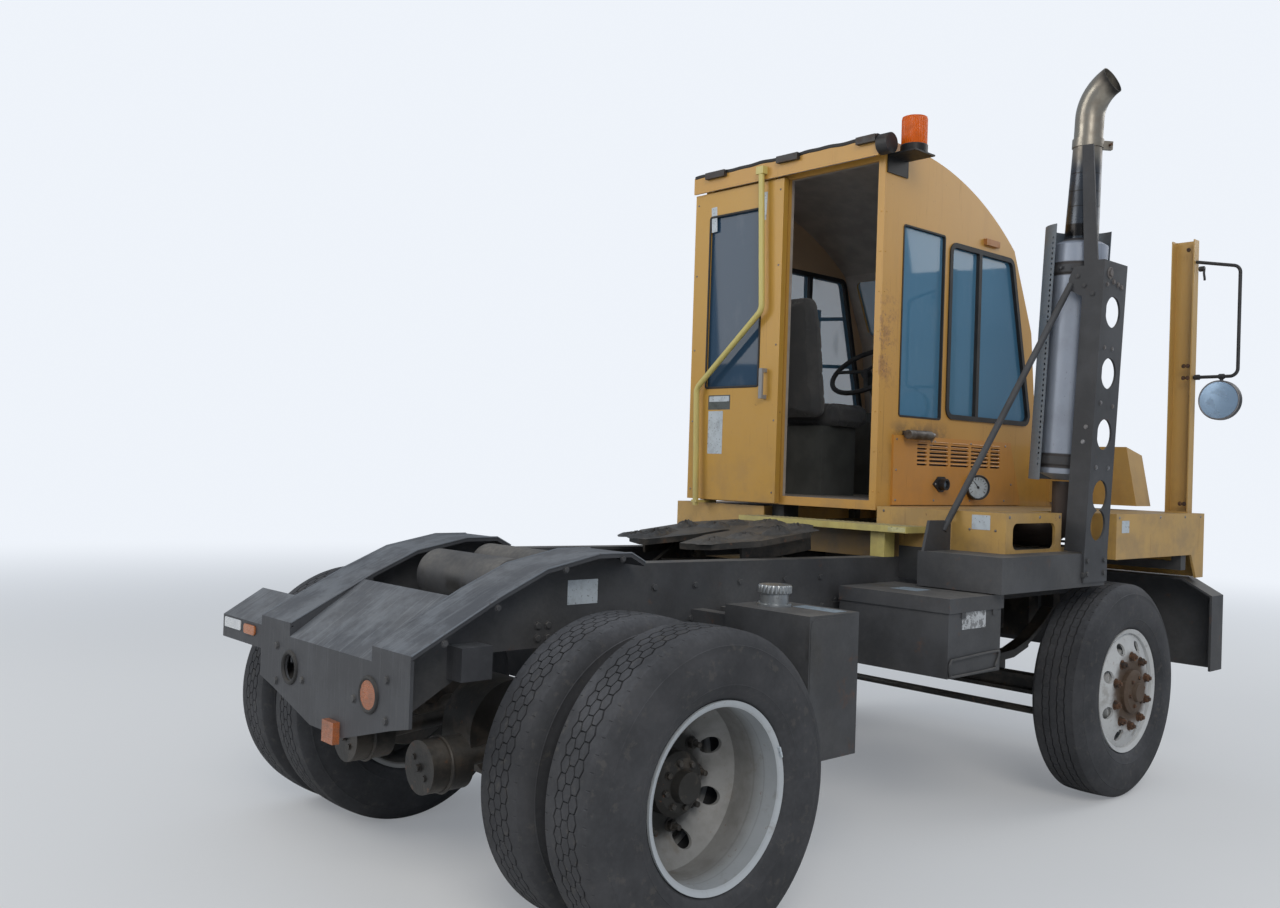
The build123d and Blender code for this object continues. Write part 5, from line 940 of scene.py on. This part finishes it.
def wheel_nuts():
    """Ten stud nuts on each disc, and the small bolts of the axle flange and the hub cap."""
    for side, name in SIDES:
        out = (0, side, 0)
        nuts = scattered(stud_nut(0.046), circle_spots((AXLE_X, side * 0.916, HUB_Z), 0.167, 10), out, 3)
        flange = circle_spots((AXLE_X, side * 1.0165, HUB_Z), 0.073, 8, 0.2)
        nuts += scattered(bolt(0.0105, 0.012), flange, out, 4)
        piece("rear_nuts_" + name, nuts, GREASY, "rear_wheels_" + name, "greasy_steel")
        nuts = scattered(stud_nut(0.031), circle_spots((FRONT_X, side * 1.127, HUB_Z), 0.167, 10, 0.3), out, 5)
        cap = circle_spots((FRONT_X, side * 1.1585, HUB_Z), 0.069, 6, 0.2)
        nuts += scattered(bolt(0.0085, 0.009), cap, out, 6)
        piece("front_nuts_" + name, nuts, RUSTY, "front_wheel_" + name, "greasy_steel")


wheel_nuts()


def slab(centre, normal, width, height, thick, corner=0.004, finish=0, spin=0.0):
    """Thin plate with rounded corners standing on a surface: its outline carried up its thickness."""
    return prism(rounded(width, height, corner), 0.0, thick, finish).on(centre, normal, spin)


def hoop(centre, normal, radius, section, steps=48, finish=0):
    """Torus: a small round carried round a larger one."""
    t = circle(steps)
    path = np.column_stack([radius * np.cos(t), radius * np.sin(t), t * 0])
    return carried(path, ring(section, 8), closed=True, finish=finish).on(centre, normal)


def studs_at(shape, spots, normal, seed=1):
    return scattered(shape, [at(*spot) for spot in spots], normal, seed)


def gauge_dial():
    """Pale dial sunk in the gauge's rim, with plain ticks, a pointer and a rubber ring round its edge."""
    turn = math.radians(29)
    out = np.array((-math.sin(turn), -math.cos(turn), 0.0))
    foot = np.array((2.855, -0.292, 1.482))
    dial = turned([(0.0575, -0.002), (0.0575, 0.0006), (0.03, 0.0012), (0.0005, 0.0014)], 48, 0)
    marks = []
    for number in range(13):
        length = 0.008 if number % 3 else 0.014
        tick = prism(rounded(length, 0.0022, 0.0008, 2), 0.0, 0.0028, 1).moved(0.045, 0, 0)
        marks.append(tick.placed(Matrix.Rotation(math.radians(-35 + number * 20.8), 4, "Z")))
    hand = prism(rounded(0.046, 0.0032, 0.0012, 2), 0.001, 0.0040, 1).moved(0.015, 0, 0)
    hand = hand.placed(Matrix.Rotation(math.radians(128), 4, "Z"))
    hub = turned([(0.007, 0.0), (0.007, 0.004), (0.0005, 0.005)], 16, 1)
    face = joined([dial, hand, hub] + marks).on(foot + out * 0.0475, out)
    rim = hoop(foot + out * 0.0545, out, 0.0625, 0.0045, finish=1)
    piece("gauge_dial", face + rim, [LABEL, PLASTIC], "cab", "black_plastic")


def socket_fittings():
    """Screws in the socket's flange and the pale insert in its mouth."""
    y = -0.298
    screws = studs_at(rivet(0.0065), [(2.487, y, 1.493), (2.593, y, 1.493)], OUT)
    insert = turned([(0.0205, 0.0), (0.0205, 0.010), (0.016, 0.013), (0.0005, 0.013)], 24, 1)
    pins = circle_spots((AXLE_X + 2.540, -0.315, 1.493), 0.009, 4, 0.4)
    contacts = scattered(turned([(0.0022, 0), (0.0022, 0.006), (0.0004, 0.007)], 8, 0), pins, OUT)
    shape = screws + insert.on((2.540, -0.303, 1.493), OUT) + contacts
    # The insert wears the mirror's pale blue, a painted sky reflection.
    piece("socket_fittings", shape, [BOLT, MIRROR_SKY_PAINT], "cab", "black_plastic")


def louvres():
    """A dark sheet behind the slots, painted shade standing for the unlit space behind them, and over each slot a lip:
    a quarter wave along its height, flat to its ends.
    """
    span, gap, shares = 0.791, 0.024, (0.5, 1, 1, 1, 0.55)
    full = (span - gap * 4) / sum(shares)
    # painted shade: a black sheet where the slots show only shadow
    ground = slab((2.322 + span / 2, CAB_SIDE, 1.647), OUT, span, 0.124, 0.0008, finish=0)
    u = np.linspace(0, 1, 13)[:, None]
    v = np.linspace(0, 1, 6)[None, :]
    lips = []
    start = 2.322
    for share in shares:
        width = full * share
        for row in range(6):
            z = 1.587 + row * 0.0222
            swell = 0.0042 * (1 - (2 * u - 1) ** 10) * np.sin(v * np.pi / 2)
            points = np.stack([start + u * width + v * 0, -0.2921 - swell, z + 0.0140 - 0.0045 * v + u * 0], -1)
            lips.append(grid(points + np.array(at(0, 0, 0)), finish=0))
        start += width + gap
    piece("louvre_slot_shade", ground, RUBBER, "cab", "black_plastic")
    piece("louvre_lips", joined(lips), HATCH, "cab", "yellow_paint", thick=0.0012, offset=-1.0, sharp=60)


def hatch_fasteners():
    """Round-headed screws round the hatch and the two feet of the latch."""
    spots = [(x, HATCH_FACE, z) for x in (2.145, 2.48, 2.82, 3.17) for z in (1.410, 1.712)]
    spots += [(2.145, HATCH_FACE, 1.56), (3.24, HATCH_FACE, 1.50)]
    piece("hatch_screws", studs_at(rivet(0.0062), spots, OUT), BOLT, "cab", "dusty_steel")
    bend = ((2.380, -0.327, 1.738), (2.415, -0.325, 1.742), (2.440, -0.300, 1.730), (2.445, -0.284, 1.712))
    bar = pipe([at(*spot) for spot in bend], 0.011)
    plate = slab((2.440, -0.2801, 1.705), OUT, 0.060, 0.046, 0.005)
    piece("latch_end", bar + plate, BOLT, "cab", "dusty_steel", bevel=0.001)


def hood_seal():
    """Rubber strip along the hood's top rear edge: its section carried along a faintly wavy line."""
    y = np.linspace(-0.272, 0.972, 60)
    sag = 0.0022 * np.sin(y * 17.0) + 0.0015 * np.sin(y * 41.0 + 1.0)
    path = np.column_stack([np.full(60, 1.9485 + AXLE_X), y, 3.178 + sag])
    strip = carried(path, rounded(0.034, 0.020, 0.006, 3))
    piece("hood_seal", strip, RUBBER, "cab", "black_rubber")


def door_fittings():
    """Blank labels, tape at the pane's corners, its rubber and screws on the sliding door."""
    x = 1.9549
    pale = slab((x, 0.776, 1.737), BACK, 0.110, 0.236, 0.0008, 0.003, 0)
    dark = slab((x, 0.752, 1.903), BACK, 0.165, 0.080, 0.0008, 0.003, 1)
    dark += slab((x - 0.0007, 0.752, 1.922), BACK, 0.150, 0.030, 0.0006, 0.002, 0)
    tape = slab((x, 0.832, 2.925), BACK, 0.042, 0.140, 0.0006, 0.002, 0, 0.05)
    tape += slab((x, 0.462, 2.948), BACK, 0.034, 0.150, 0.0006, 0.002, 0, -0.04)
    piece("door_labels", pale + dark + tape, [LABEL, LABEL_DARK], "door", "black_plastic")
    corner = rounded(0.390, 0.955, 0.012, 4)
    path = np.column_stack([np.full(len(corner), x - 0.001), 0.665 + corner[:, 0], 2.4625 + corner[:, 1]])
    seal = carried(path + np.array(at(0, 0, 0)), rounded(0.012, 0.007, 0.003, 2), closed=True, up=(1, 0, 0))
    piece("door_pane_rubber", seal, RUBBER, "door", "black_rubber")
    screws = [(x, y, z) for y in (0.352, 0.957) for z in (1.42, 1.80, 2.20, 2.62, 3.02)]
    piece("door_screws", studs_at(rivet(0.0055), screws, BACK), BOLT, "door", "dusty_steel")


def cab_wall_screws():
    """Rivets down the rear corner post, on its side face and on its back."""
    rise = np.linspace(1.45, 3.02, 9)
    spots = [(2.022, CAB_SIDE, z) for z in rise]
    piece("corner_rivets", studs_at(rivet(0.005), spots, OUT), YELLOW, "cab", "yellow_paint")
    rear = [(CAB_BACK, -0.262, z) for z in rise[:-1]]
    piece("rear_rivets", studs_at(rivet(0.005), rear, BACK), YELLOW, "cab", "yellow_paint")


def beacon_lens():
    """Orange cover with upright ribs: a circle whose radius ripples with its angle, closed by a shallow dome."""
    rows = [(0.0606, 3.1395), (0.0618, 3.143), (0.0618, 3.268), (0.0600, 3.2765)]
    rows += [(0.0520, 3.2810), (0.030, 3.2825), (0.0005, 3.2828)]
    lens = ribbed(rows, 36, 0.0009, 0.055, 288).moved(*at(*BEACON_AT, 0))
    piece("beacon_lens", lens, BEACON, "cab", "lamp_lens", sharp=40)
    collar = hoop((*BEACON_AT, BEACON_FOOT), UP, 0.0625, 0.004)
    feet = studs_at(bolt(0.008, 0.006), [(2.04, -0.42, 3.105), (2.155, -0.42, 3.105), (2.155, -0.33, 3.105)], UP)
    piece("beacon_collar", collar + feet, PLASTIC, "cab", "black_plastic")


gauge_dial()
socket_fittings()
louvres()
hatch_fasteners()
hood_seal()
door_fittings()
cab_wall_screws()
beacon_lens()


def mirror_fittings():
    """Face of the round mirror with a painted sky reflection, its bright rim, its clamps, and the post's bolts."""
    rows = [(0.0995, 0.0), (0.0995, 0.0012), (0.080, 0.0021), (0.055, 0.0028), (0.028, 0.0032), (0.0005, 0.0034)]
    shape = turned(rows, 56).on((3.7001, -1.215, 1.985), BACK)
    shape += hoop((3.6995, -1.215, 1.985), BACK, 0.1005, 0.0040, finish=1)
    piece("mirror_face", shape, [MIRROR_SKY_PAINT, BOLT], "chassis", "black_plastic")
    clamp = turned([(0.0125, -0.014), (0.0145, -0.012), (0.0145, 0.012), (0.0125, 0.014)], 20)
    lay = Matrix.Rotation(math.radians(90), 4, "X")
    places = ((-1.10, 2.695), (-1.215, 2.112), (-1.09, 2.112))
    shape = joined([clamp.placed(Matrix.Translation(at(3.73, y, z)) @ lay) for y, z in places])
    bend = ((3.73, -1.112, 2.690), (3.722, -1.114, 2.668), (3.726, -1.116, 2.645), (3.73, -1.115, 2.632))
    hook = pipe([at(*spot) for spot in bend], 0.006)
    piece("mirror_clamps", shape + hook, PLASTIC, "chassis", "black_plastic")
    spots = [(3.6998, y, z) for z in (1.43, 2.108, 2.172) for y in (-1.052, -1.030)] + [(3.6998, -1.04, 2.80)]
    piece("mirror_post_bolts", studs_at(bolt(0.009), spots, BACK), RUSTY, "chassis", "dusty_steel")


def leaning(shape):
    """The exhaust's lean outboard, about its foot."""
    foot = Vector(at(0, *LEAN_FOOT))
    turn = Matrix.Rotation(math.radians(LEAN), 4, "X")
    return shape.placed(Matrix.Translation(foot) @ turn @ Matrix.Translation(-foot))


def exhaust_fittings():
    """Bolts on the leaning post, the muffler's clamp bands with their screws, and the stack clamp's bolt."""
    spots = [(x, POST_SIDE, z) for x, z in ((2.569, 2.464), (2.614, 2.457), (2.650, 2.448))]
    bolts = studs_at(bolt(0.0105), spots, OUT)
    spots = [(x, POST_SIDE, z) for x, z in ((2.511, 2.446), (2.525, 2.156), (2.602, 2.155))]
    bolts += studs_at(bolt(0.0085), spots, OUT, 2)
    bolts += studs_at(bolt(0.016), [(2.530, POST_SIDE, 2.500)], OUT)
    bolts += hoop((2.530, -1.111, 2.500), OUT, 0.024, 0.0035, 24)
    spots = [(x, POST_SIDE, z) for x, z in ((2.525, 1.60), (2.645, 1.60), (2.525, 1.90), (2.645, 1.89))]
    bolts += studs_at(bolt(0.009), spots, OUT, 3)
    bolts += studs_at(bolt(0.008), [(POST_BACK, -1.075, 1.785), (POST_BACK, -1.066, 1.715)], BACK, 4)
    piece("post_bolts", leaning(bolts), BOLT)
    low = studs_at(bolt(0.012), [(x, -1.1102, z) for x in (2.50, 2.665) for z in (1.105, 1.165)], OUT, 6)
    low += studs_at(bolt(0.012), [(POST_BACK, -1.105, 1.10)], BACK, 7)
    spots = [(POST_BACK, y, z) for y, z in ((-1.062, 2.40), (-1.02, 2.44), (-0.985, 2.485))]
    low += leaning(studs_at(bolt(0.010), spots, BACK, 5))
    piece("post_foot_bolts", low, BLACK)
    bands = []
    for foot in (1.600, 2.510):
        profile = [(0.1252, foot + 0.004), (0.1318, foot + 0.004), (0.1318, foot + 0.040), (0.1252, foot + 0.040)]
        bands.append(turned(profile, 72, closed=True).moved(*at(*MUFFLER_AT, 0)))
    for angle in (172, 196):
        turn = math.radians(angle)
        away = np.array((math.cos(turn), math.sin(turn), 0))
        bands.append(studs_at(bolt(0.008, 0.012), [(*MUFFLER_AT, 2.532) + 0.133 * away], away))
    piece("muffler_bands", leaning(joined(bands)), BAND, "chassis", "muffler_steel", bevel=0.001)
    turn = math.radians(-40)
    tip = np.array((*MUFFLER_AT, 3.140)) + np.array((math.cos(turn), math.sin(turn), 0)) * 0.100
    shank = pipe([at(*(tip + s * np.array((0.022, 0.026, 0)))) for s in (-1, -0.3, 0.4, 1)], 0.0055)
    piece("stack_clamp_bolt", leaning(shank), RUSTY, "chassis", "muffler_steel")


def tail_fittings():
    """Reflector and small lamp on the left wing, grommets round the lamps, worn edges and bolts on the ramps."""
    lens = slab((TAIL_FACE, 0.800, 0.862), BACK, 0.150, 0.040, 0.006, 0.006, 0)
    lens += slab((TAIL_FACE, 0.640, 0.858), BACK, 0.100, 0.038, 0.008, 0.012, 1)
    piece("wing_reflectors", lens, [WHITE_LENS, AMBER], "chassis", "lamp_lens", bevel=0.002)
    rings = joined([hoop((-0.7205, y, 0.765), BACK, 0.0545, 0.0085) for y in (0.290, -0.290)])
    dish = turned([(0.0475, 0.0), (0.0475, 0.004), (0.030, 0.009), (0.0005, 0.010)], 36)
    piece("lamp_grommets", rings, RUBBER, "chassis", "black_rubber")
    piece("tail_lamp_lens", dish.on((-0.7130, -0.290, 0.765), BACK), LAMPS, "chassis", "lamp_lens")
    line = [(-0.7185, 0.925), (-0.39, 1.093), (-0.20, 1.176), (0.03, 1.221), (0.18, 1.221), (0.25, 1.186)]
    paths = [[at(x, y, z) for x, z in line] for y in (-0.5395, -0.3005, 0.3005, 0.5395)]
    edges = [carried(path, ring(0.0035, 8), up=(0, 1, 0)) for path in paths]
    piece("ramp_edges", joined(edges), WORN, "chassis", "dusty_steel")
    spots = [(TAIL_FACE, y, z) for y in (-0.40, 0.40) for z in (0.70, 0.83)]
    spots += [(TAIL_FACE, y, 0.735) for y in (-0.19, 0.19)]
    tail = studs_at(bolt(0.012), spots, BACK)
    for side in (-1, 1):
        for x, z in ((-0.60, 0.955), (-0.40, 1.055), (-0.12, 1.17), (0.14, 1.20)):
            tail += studs_at(bolt(0.010), [(x, side * 0.5402, z)], (0, side, 0))
    piece("tail_bolts", tail, BLACK)
    rings = joined([hoop((-0.43, y, 0.490), (1, 0, 0), 0.0935, 0.0075) for y in (-0.262, 0.262)])
    for y in (-0.262, 0.262):
        pair = [(-0.5052, y + s * 0.035, 0.490 + s * 0.03) for s in (1, -1)]
        rings += studs_at(bolt(0.010), pair, BACK)
        rings += studs_at(bolt(0.013, 0.014), [(-0.5052, y, 0.49)], BACK)
    piece("chamber_bands", rings, GREASY, "chassis", "greasy_steel")


def tank_fittings():
    """Silver filler on the oil tank with a finger-gripped cap, its valve, its drain and the bare labels."""
    neck = turned([(0.066, 0.0), (0.066, 0.007), (0.054, 0.009), (0.054, 0.052)], 40, 0)
    rows = [(0.060, 0.046), (0.0635, 0.050), (0.0635, 0.074), (0.060, 0.079), (0.040, 0.081), (0.0005, 0.082)]
    shape = (neck + ribbed(rows, 24, 0.0016, 0.062, 144)).on((0.720, -0.760, TANK_TOP), UP)
    spots = [(0.720 + 0.060 * math.cos(a), -0.760 + 0.060 * math.sin(a), 1.032) for a in (0.3, 1.9, 3.5, 5.0)]
    shape += studs_at(bolt(0.007, 0.005), spots, UP)
    piece("oil_filler", shape, FILLER, "chassis", "dusty_steel")
    rows = [(0.016, 0.0), (0.016, 0.018), (0.022, 0.020), (0.022, 0.044)]
    body = turned(rows + [(0.013, 0.047), (0.013, 0.070), (0.0005, 0.072)], 24)
    valve = body.on((0.8602, -0.965, 0.932), (1, 0, 0))
    stem = turned([(0.006, 0.0), (0.006, 0.034), (0.017, 0.036), (0.017, 0.043), (0.0005, 0.045)], 20)
    valve += stem.on((0.892, -0.965, 0.950), UP)
    drain = turned([(0.012, 0.0), (0.012, 0.012), (0.017, 0.013), (0.017, 0.026), (0.0005, 0.028)], 6)
    valve += drain.on((0.8602, -1.015, 0.600), (1, 0, 0))
    piece("tank_valve", valve, FILLER, "chassis", "dusty_steel")
    tags = slab((0.790, -0.920, TANK_TOP), UP, 0.075, 0.200, 0.0008, 0.004, 0)
    tags += slab((1.640, -0.740, 1.0402), UP, 0.110, 0.135, 0.0008, 0.004, 0)
    tags += slab((0.046, -RAIL_SIDE, 1.076), OUT, 0.140, 0.088, 0.0012, 0.003, 1)
    tags += slab((1.645, TANK_SIDE, 0.969), OUT, 0.180, 0.122, 0.0010, 0.003, 2)
    piece("tank_labels", tags, [LABEL_BLUE, LABEL, LABEL_SCUFFED], "chassis", "black_plastic")
    corners = [(1.475, 0.790), (1.800, 0.800), (1.840, 0.788), (1.815, 0.742)]
    corners += [(1.790, 0.727), (1.500, 0.722), (1.470, 0.730), (1.462, 0.765)]
    loop = [at(x, -1.0565, z) for x, z in corners]
    path = smooth_path(loop + [loop[0]], 6)[:-1]
    piece("battery_bail", carried(path, ring(0.0055, 8), closed=True, up=(0, 1, 0)), BLACK)
    catch = joined([slab((x, TANK_SIDE, 0.985), OUT, 0.030, 0.060, 0.006, 0.005) for x in (1.56, 1.80)])
    piece("battery_catches", catch, BLACK, bevel=0.0015)
    seam = slab((0.718, TANK_SIDE, 0.765), OUT, 0.270, 0.500, 0.0012, 0.03)
    piece("tank_end_plate", seam, BLACK, bevel=0.0008)


def frame_bolts():
    """Rows of bolts through the rail webs at each crossmember, spring bracket and hanger."""
    spots = []
    for x, z in ((-0.130, 0.905), (0.110, 0.920), (1.530, 0.903), (2.180, 0.975)):
        spots += [(x + dx, z + dz) for dx in (-0.022, 0.022) for dz in (0.018, 0.062)]
    spots += [(x, 1.075) for x in (0.40, 0.62, 0.88, 1.16, 1.40)]
    spots += [(x, 0.945) for x in (0.60, 0.84, 1.42, 1.62)]
    for side, name in SIDES:
        out = (0, side, 0)
        bolts = studs_at(bolt(0.0125), [(x, side * RAIL_SIDE, z) for x, z in spots], out, 7)
        piece("rail_bolts_" + name, bolts, BLACK)


def deck_fittings():
    """Bare plates and screws on the deck and fender, the panel under the step and its grip of raised buttons."""
    tags = slab((2.905, DECK_SIDE, 1.318), OUT, 0.078, 0.060, 0.0012, 0.003, 0)
    tags += slab((CAB_BACK, -0.857, 1.334), BACK, 0.092, 0.066, 0.0012, 0.003, 0)
    tags += slab((1.8298, -0.525, 1.283), BACK, 0.095, 0.022, 0.0010, 0.002, 1)
    valance = slab((1.9895, 0.0, 1.2005), BACK, 0.862, 0.134, 0.003, 0.004)
    piece("step_valance", valance, YELLOW_DARK_DIRTY, "chassis", "yellow_paint", bevel=0.001)
    piece("deck_labels", tags, [LABEL, LABEL_YELLOW], "chassis", "black_plastic")
    screws = studs_at(rivet(0.006), [(CAB_BACK, -0.80, 1.30), (CAB_BACK, -0.93, 1.30), (CAB_BACK, -0.33, 1.36)], BACK)
    screws += studs_at(rivet(0.008), [(x, NOTCH_SIDE, 1.362) for x in (2.296, 2.03, 2.48)], OUT)
    screws += studs_at(rivet(0.007), [(x, DECK_SIDE, 1.362) for x in (2.84, 3.30, 3.60, 3.80)], OUT)
    piece("deck_screws", screws, BOLT, "chassis", "dusty_steel")
    rows, columns = -0.560 + 0.030 * np.arange(34), 1.848 + 0.0248 * np.arange(6)
    spots = [(x, y, 1.2981) for y in rows for x in columns]
    button = turned([(0.0065, 0.0), (0.0050, 0.0018), (0.0005, 0.0022)], 8)
    piece("step_grip", joined([button.moved(*at(*spot)) for spot in spots]), PALE_WORN, "chassis", "pale_yellow")


def settled(target):
    """Puts the modifiers' result in the mesh and drops them."""
    graph = bpy.context.evaluated_depsgraph_get()
    mesh = bpy.data.meshes.new_from_object(target.evaluated_get(graph))
    target.modifiers.clear()
    target.data = mesh


def spots_of(target):
    points = np.empty(len(target.data.vertices) * 3)
    target.data.vertices.foreach_get("co", points)
    return points.reshape(-1, 3)


def put_spots(target, points):
    target.data.vertices.foreach_set("co", points.astype(np.float32).ravel())
    target.data.update()


def signed_power(value, power):
    return np.sign(value) * np.abs(value) ** power


PAD_POWER = 0.24  # squareness: 1 is an egg, 0 a box
PAD_VOXEL = 0.0105
PAD_FRAMES = 20


def pad_form(width, depth, height, taper=0.0):
    """Squared-off egg: signed powers of sine and cosine, sides drawn in between the corners, top narrowed by taper."""
    t = circle(72)[None, :]
    p = np.linspace(-np.pi / 2 + 0.02, np.pi / 2 - 0.02, 30)[:, None]
    x = width / 2 * signed_power(np.cos(p), PAD_POWER) * signed_power(np.cos(t), PAD_POWER)
    y = depth / 2 * signed_power(np.cos(p), PAD_POWER) * signed_power(np.sin(t), PAD_POWER)
    z = height / 2 * signed_power(np.sin(p), PAD_POWER) + t * 0
    draw = 1 - 0.035 * (1 - (2 * z / height) ** 2)
    narrow = 1 - taper * np.clip((2 * z / height - 0.15) / 0.85, 0, 1) ** 1.6
    points = np.stack([x * draw, y * draw * narrow, z], -1)
    return grid(points, wrap_v=True, caps=True)


def pad(name, shape, frame_in, box, grooves, cap):
    """Stuffed pad: the form remeshed, swelled as cloth under pressure with its travel capped, and sewn with channels.

    frame_in turns the pad's own axes into the tractor's; box is its room in its own axes. A groove is
    (axis, place, depth, breadth, sunk): it presses the faces beyond the middle of axis sunk inwards along a line.
    """
    target = piece(name, shape, FABRIC, "cab", "seat_fabric", sharp=180)
    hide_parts("seat")
    low, high = np.array(box[0]), np.array(box[1])
    voxels = target.modifiers.new("voxels", "REMESH")
    voxels.mode, voxels.voxel_size = "VOXEL", PAD_VOXEL
    settled(target)
    start = spots_of(target)
    cloth = target.modifiers.new("swell", "CLOTH")
    cloth.settings.quality = 4
    cloth.settings.use_pressure = True
    cloth.settings.uniform_pressure_force = 4.0
    cloth.settings.effector_weights.gravity = 0.0
    cloth.point_cache.frame_start, cloth.point_cache.frame_end = 1, PAD_FRAMES
    for frame_number in range(1, PAD_FRAMES + 1):
        bpy.context.scene.frame_set(frame_number)
    settled(target)
    bpy.context.scene.frame_set(1)
    moved = spots_of(target) - start
    reach = np.linalg.norm(moved, axis=1, keepdims=True)
    put_spots(target, start + moved * np.minimum(1.0, cap / np.maximum(reach, 1e-9)))
    finer = target.modifiers.new("finer", "SUBSURF")
    finer.levels = finer.render_levels = 1
    settled(target)
    points = np.clip(spots_of(target), low, high)
    middle = (low + high) / 2
    for axis, place, depth, breadth, sunk in grooves:
        face = np.clip((points[:, sunk] - middle[sunk]) / 0.02, 0, 1)
        points[:, sunk] -= depth * np.exp(-(((points[:, axis] - place) / breadth) ** 2)) * face
    turn = np.array(frame_in)
    put_spots(target, points @ turn[:3, :3].T + turn[:3, 3])
    target.data.shade_smooth()


def seat_pads():
    """Driver's seat: a crowned cushion and a raked back with narrow shoulders, in the room of the CAD seat."""
    grooves = [(1, y, 0.007, 0.008, 2) for y in (-0.145, -0.050, 0.050, 0.145)] + [(0, 0.165, 0.006, 0.008, 2)]
    room = ((-0.206, -0.248, -0.0635), (0.206, 0.248, 0.0635))
    place = Matrix.Translation(at(2.682, 0.600, 1.8655))
    pad("seat_cushion", pad_form(0.375, 0.455, 0.095), place, room, grooves, 0.026)
    grooves = [(2, z, 0.008, 0.009, 0) for z in (-0.22, -0.09, 0.04, 0.17)]
    grooves += [(1, y, 0.007, 0.008, 0) for y in (-0.15, 0.15)]
    room = ((-0.052, -0.228, -0.372), (0.052, 0.228, 0.372))
    place = Matrix.Translation(at(2.4155, 0.600, 2.180)) @ Matrix.Rotation(math.radians(-4.5), 4, "Y")
    pad("seat_back", pad_form(0.070, 0.415, 0.715, 0.30), place, room, grooves, 0.022)


def grease_cake():
    """Lumps of old grease on the coupling plate: low domes whose edge and height ripple with their angle."""
    seed = np.random.default_rng(11)
    tilt = Matrix.Translation(at(PLATE_PIN[0], 0, PLATE_PIN[1])) @ Matrix.Rotation(math.radians(-6.0), 4, "Y")
    lumps = []
    t = circle(30)[None, :]
    r = np.array([0.02, 0.25, 0.5, 0.72, 0.88, 0.97, 1.0])[:, None]
    spots = [(0.24, -0.20), (0.20, 0.12), (0.05, -0.27), (0.02, 0.28), (-0.12, -0.24), (-0.16, 0.22), (-0.27, -0.19)]
    spots += [(-0.26, 0.20), (0.26, -0.02), (0.10, -0.12), (0.09, 0.15), (-0.33, 0.24), (-0.33, -0.22), (0.16, -0.30)]
    for x, y in spots:
        phase = seed.uniform(0, 6.28, 5)
        edge = 1 + 0.16 * np.sin(2 * t + phase[0]) + 0.13 * np.sin(3 * t + phase[1]) + 0.07 * np.sin(7 * t + phase[2])
        size = seed.uniform(0.050, 0.092)
        rough = 1 + 0.35 * np.sin(4 * t + 7 * r + phase[3]) + 0.25 * np.sin(9 * t - 11 * r + phase[4])
        swell = seed.uniform(0.010, 0.024) * (1 - r**2.4) * rough
        reach = size * r * edge
        points = np.stack([x + reach * np.cos(t), y + reach * np.sin(t), 0.1046 + swell + 0 * t], -1)
        lumps.append(grid(points, wrap_v=True, caps=True).placed(tilt))
    piece("plate_grease", joined(lumps), CAKED, "fifth_wheel", "greasy_steel", sharp=70)


def wheel_weight():
    """Balance weight clipped on the right outer rim: a small bar carried along an arc of the lip."""
    lip = 0.294
    turns = np.radians(np.linspace(17.0, 24.0, 7))
    path = [at(lip * math.cos(a), -1.1865, HUB_Z + lip * math.sin(a)) for a in turns]
    bar = carried(path, rounded(0.007, 0.014, 0.002, 2), up=(0, 1, 0))
    piece("wheel_weight", bar, LABEL, "rear_wheels_right", "wheel_paint")


seat_pads()
grease_cake()
wheel_weight()
mirror_fittings()
exhaust_fittings()
tail_fittings()
tank_fittings()
frame_bolts()
deck_fittings()


def stage():
    """Pale floor that fades into the backdrop, sky-lit world and three soft lamps."""
    size = 60.0
    mesh = bpy.data.meshes.new("floor")
    mesh.from_pydata([(-size, -size, 0), (size, -size, 0), (size, size, 0), (-size, size, 0)], [], [(0, 1, 2, 3)])
    floor = bpy.data.objects.new("floor", mesh)
    bpy.context.scene.collection.objects.link(floor)
    f = Finish("studio_floor")
    f.surface(colour=(0.78, 0.78, 0.77), rough=0.9)
    x, y, _ = f.axes()
    far = ((x**2.0 + y**2.0) ** 0.5).ramp(4.5, 17.0) * 0.78 + 0.22
    f.backdrop(BACKDROP, far)
    mesh.materials.append(f.material)
    world = bpy.data.worlds.new("studio")
    bpy.context.scene.world = world
    board = Board(world)
    soft = board.node("ShaderNodeBackground", None, (0.76, 0.86, 1.0), 0.42)
    seen = board.node("ShaderNodeBackground", None, BACKDROP, 1.0)
    share = board.ray("Is Camera Ray", "Is Transmission Ray")
    board.node("ShaderNodeOutputWorld", None, board.node("ShaderNodeMixShader", None, share, soft, seen), out=None)
    for name, spot, aim, energy, breadth, colour in (
        ("key_lamp", (-7.5, -9.0, 8.5), (0.0, 0.0, 1.4), 640.0, 6.0, (1.0, 0.95, 0.88)),
        ("rear_lamp", (-9.0, 6.0, 6.0), (0.0, 0.0, 1.4), 330.0, 6.0, (1.0, 0.96, 0.90)),
        ("front_lamp", (9.0, -3.0, 7.0), (0.0, 0.0, 1.4), 240.0, 6.0, (1.0, 0.98, 0.95)),
    ):
        data = bpy.data.lights.new(name, "AREA")
        data.energy, data.size, data.color = energy, breadth, colour
        lamp = bpy.data.objects.new(name, data)
        bpy.context.scene.collection.objects.link(lamp)
        lamp.location = spot
        lamp.rotation_euler = (Vector(aim) - Vector(spot)).to_track_quat("-Z", "Y").to_euler()


stage()

bpy.context.scene.view_settings.view_transform = "Standard"
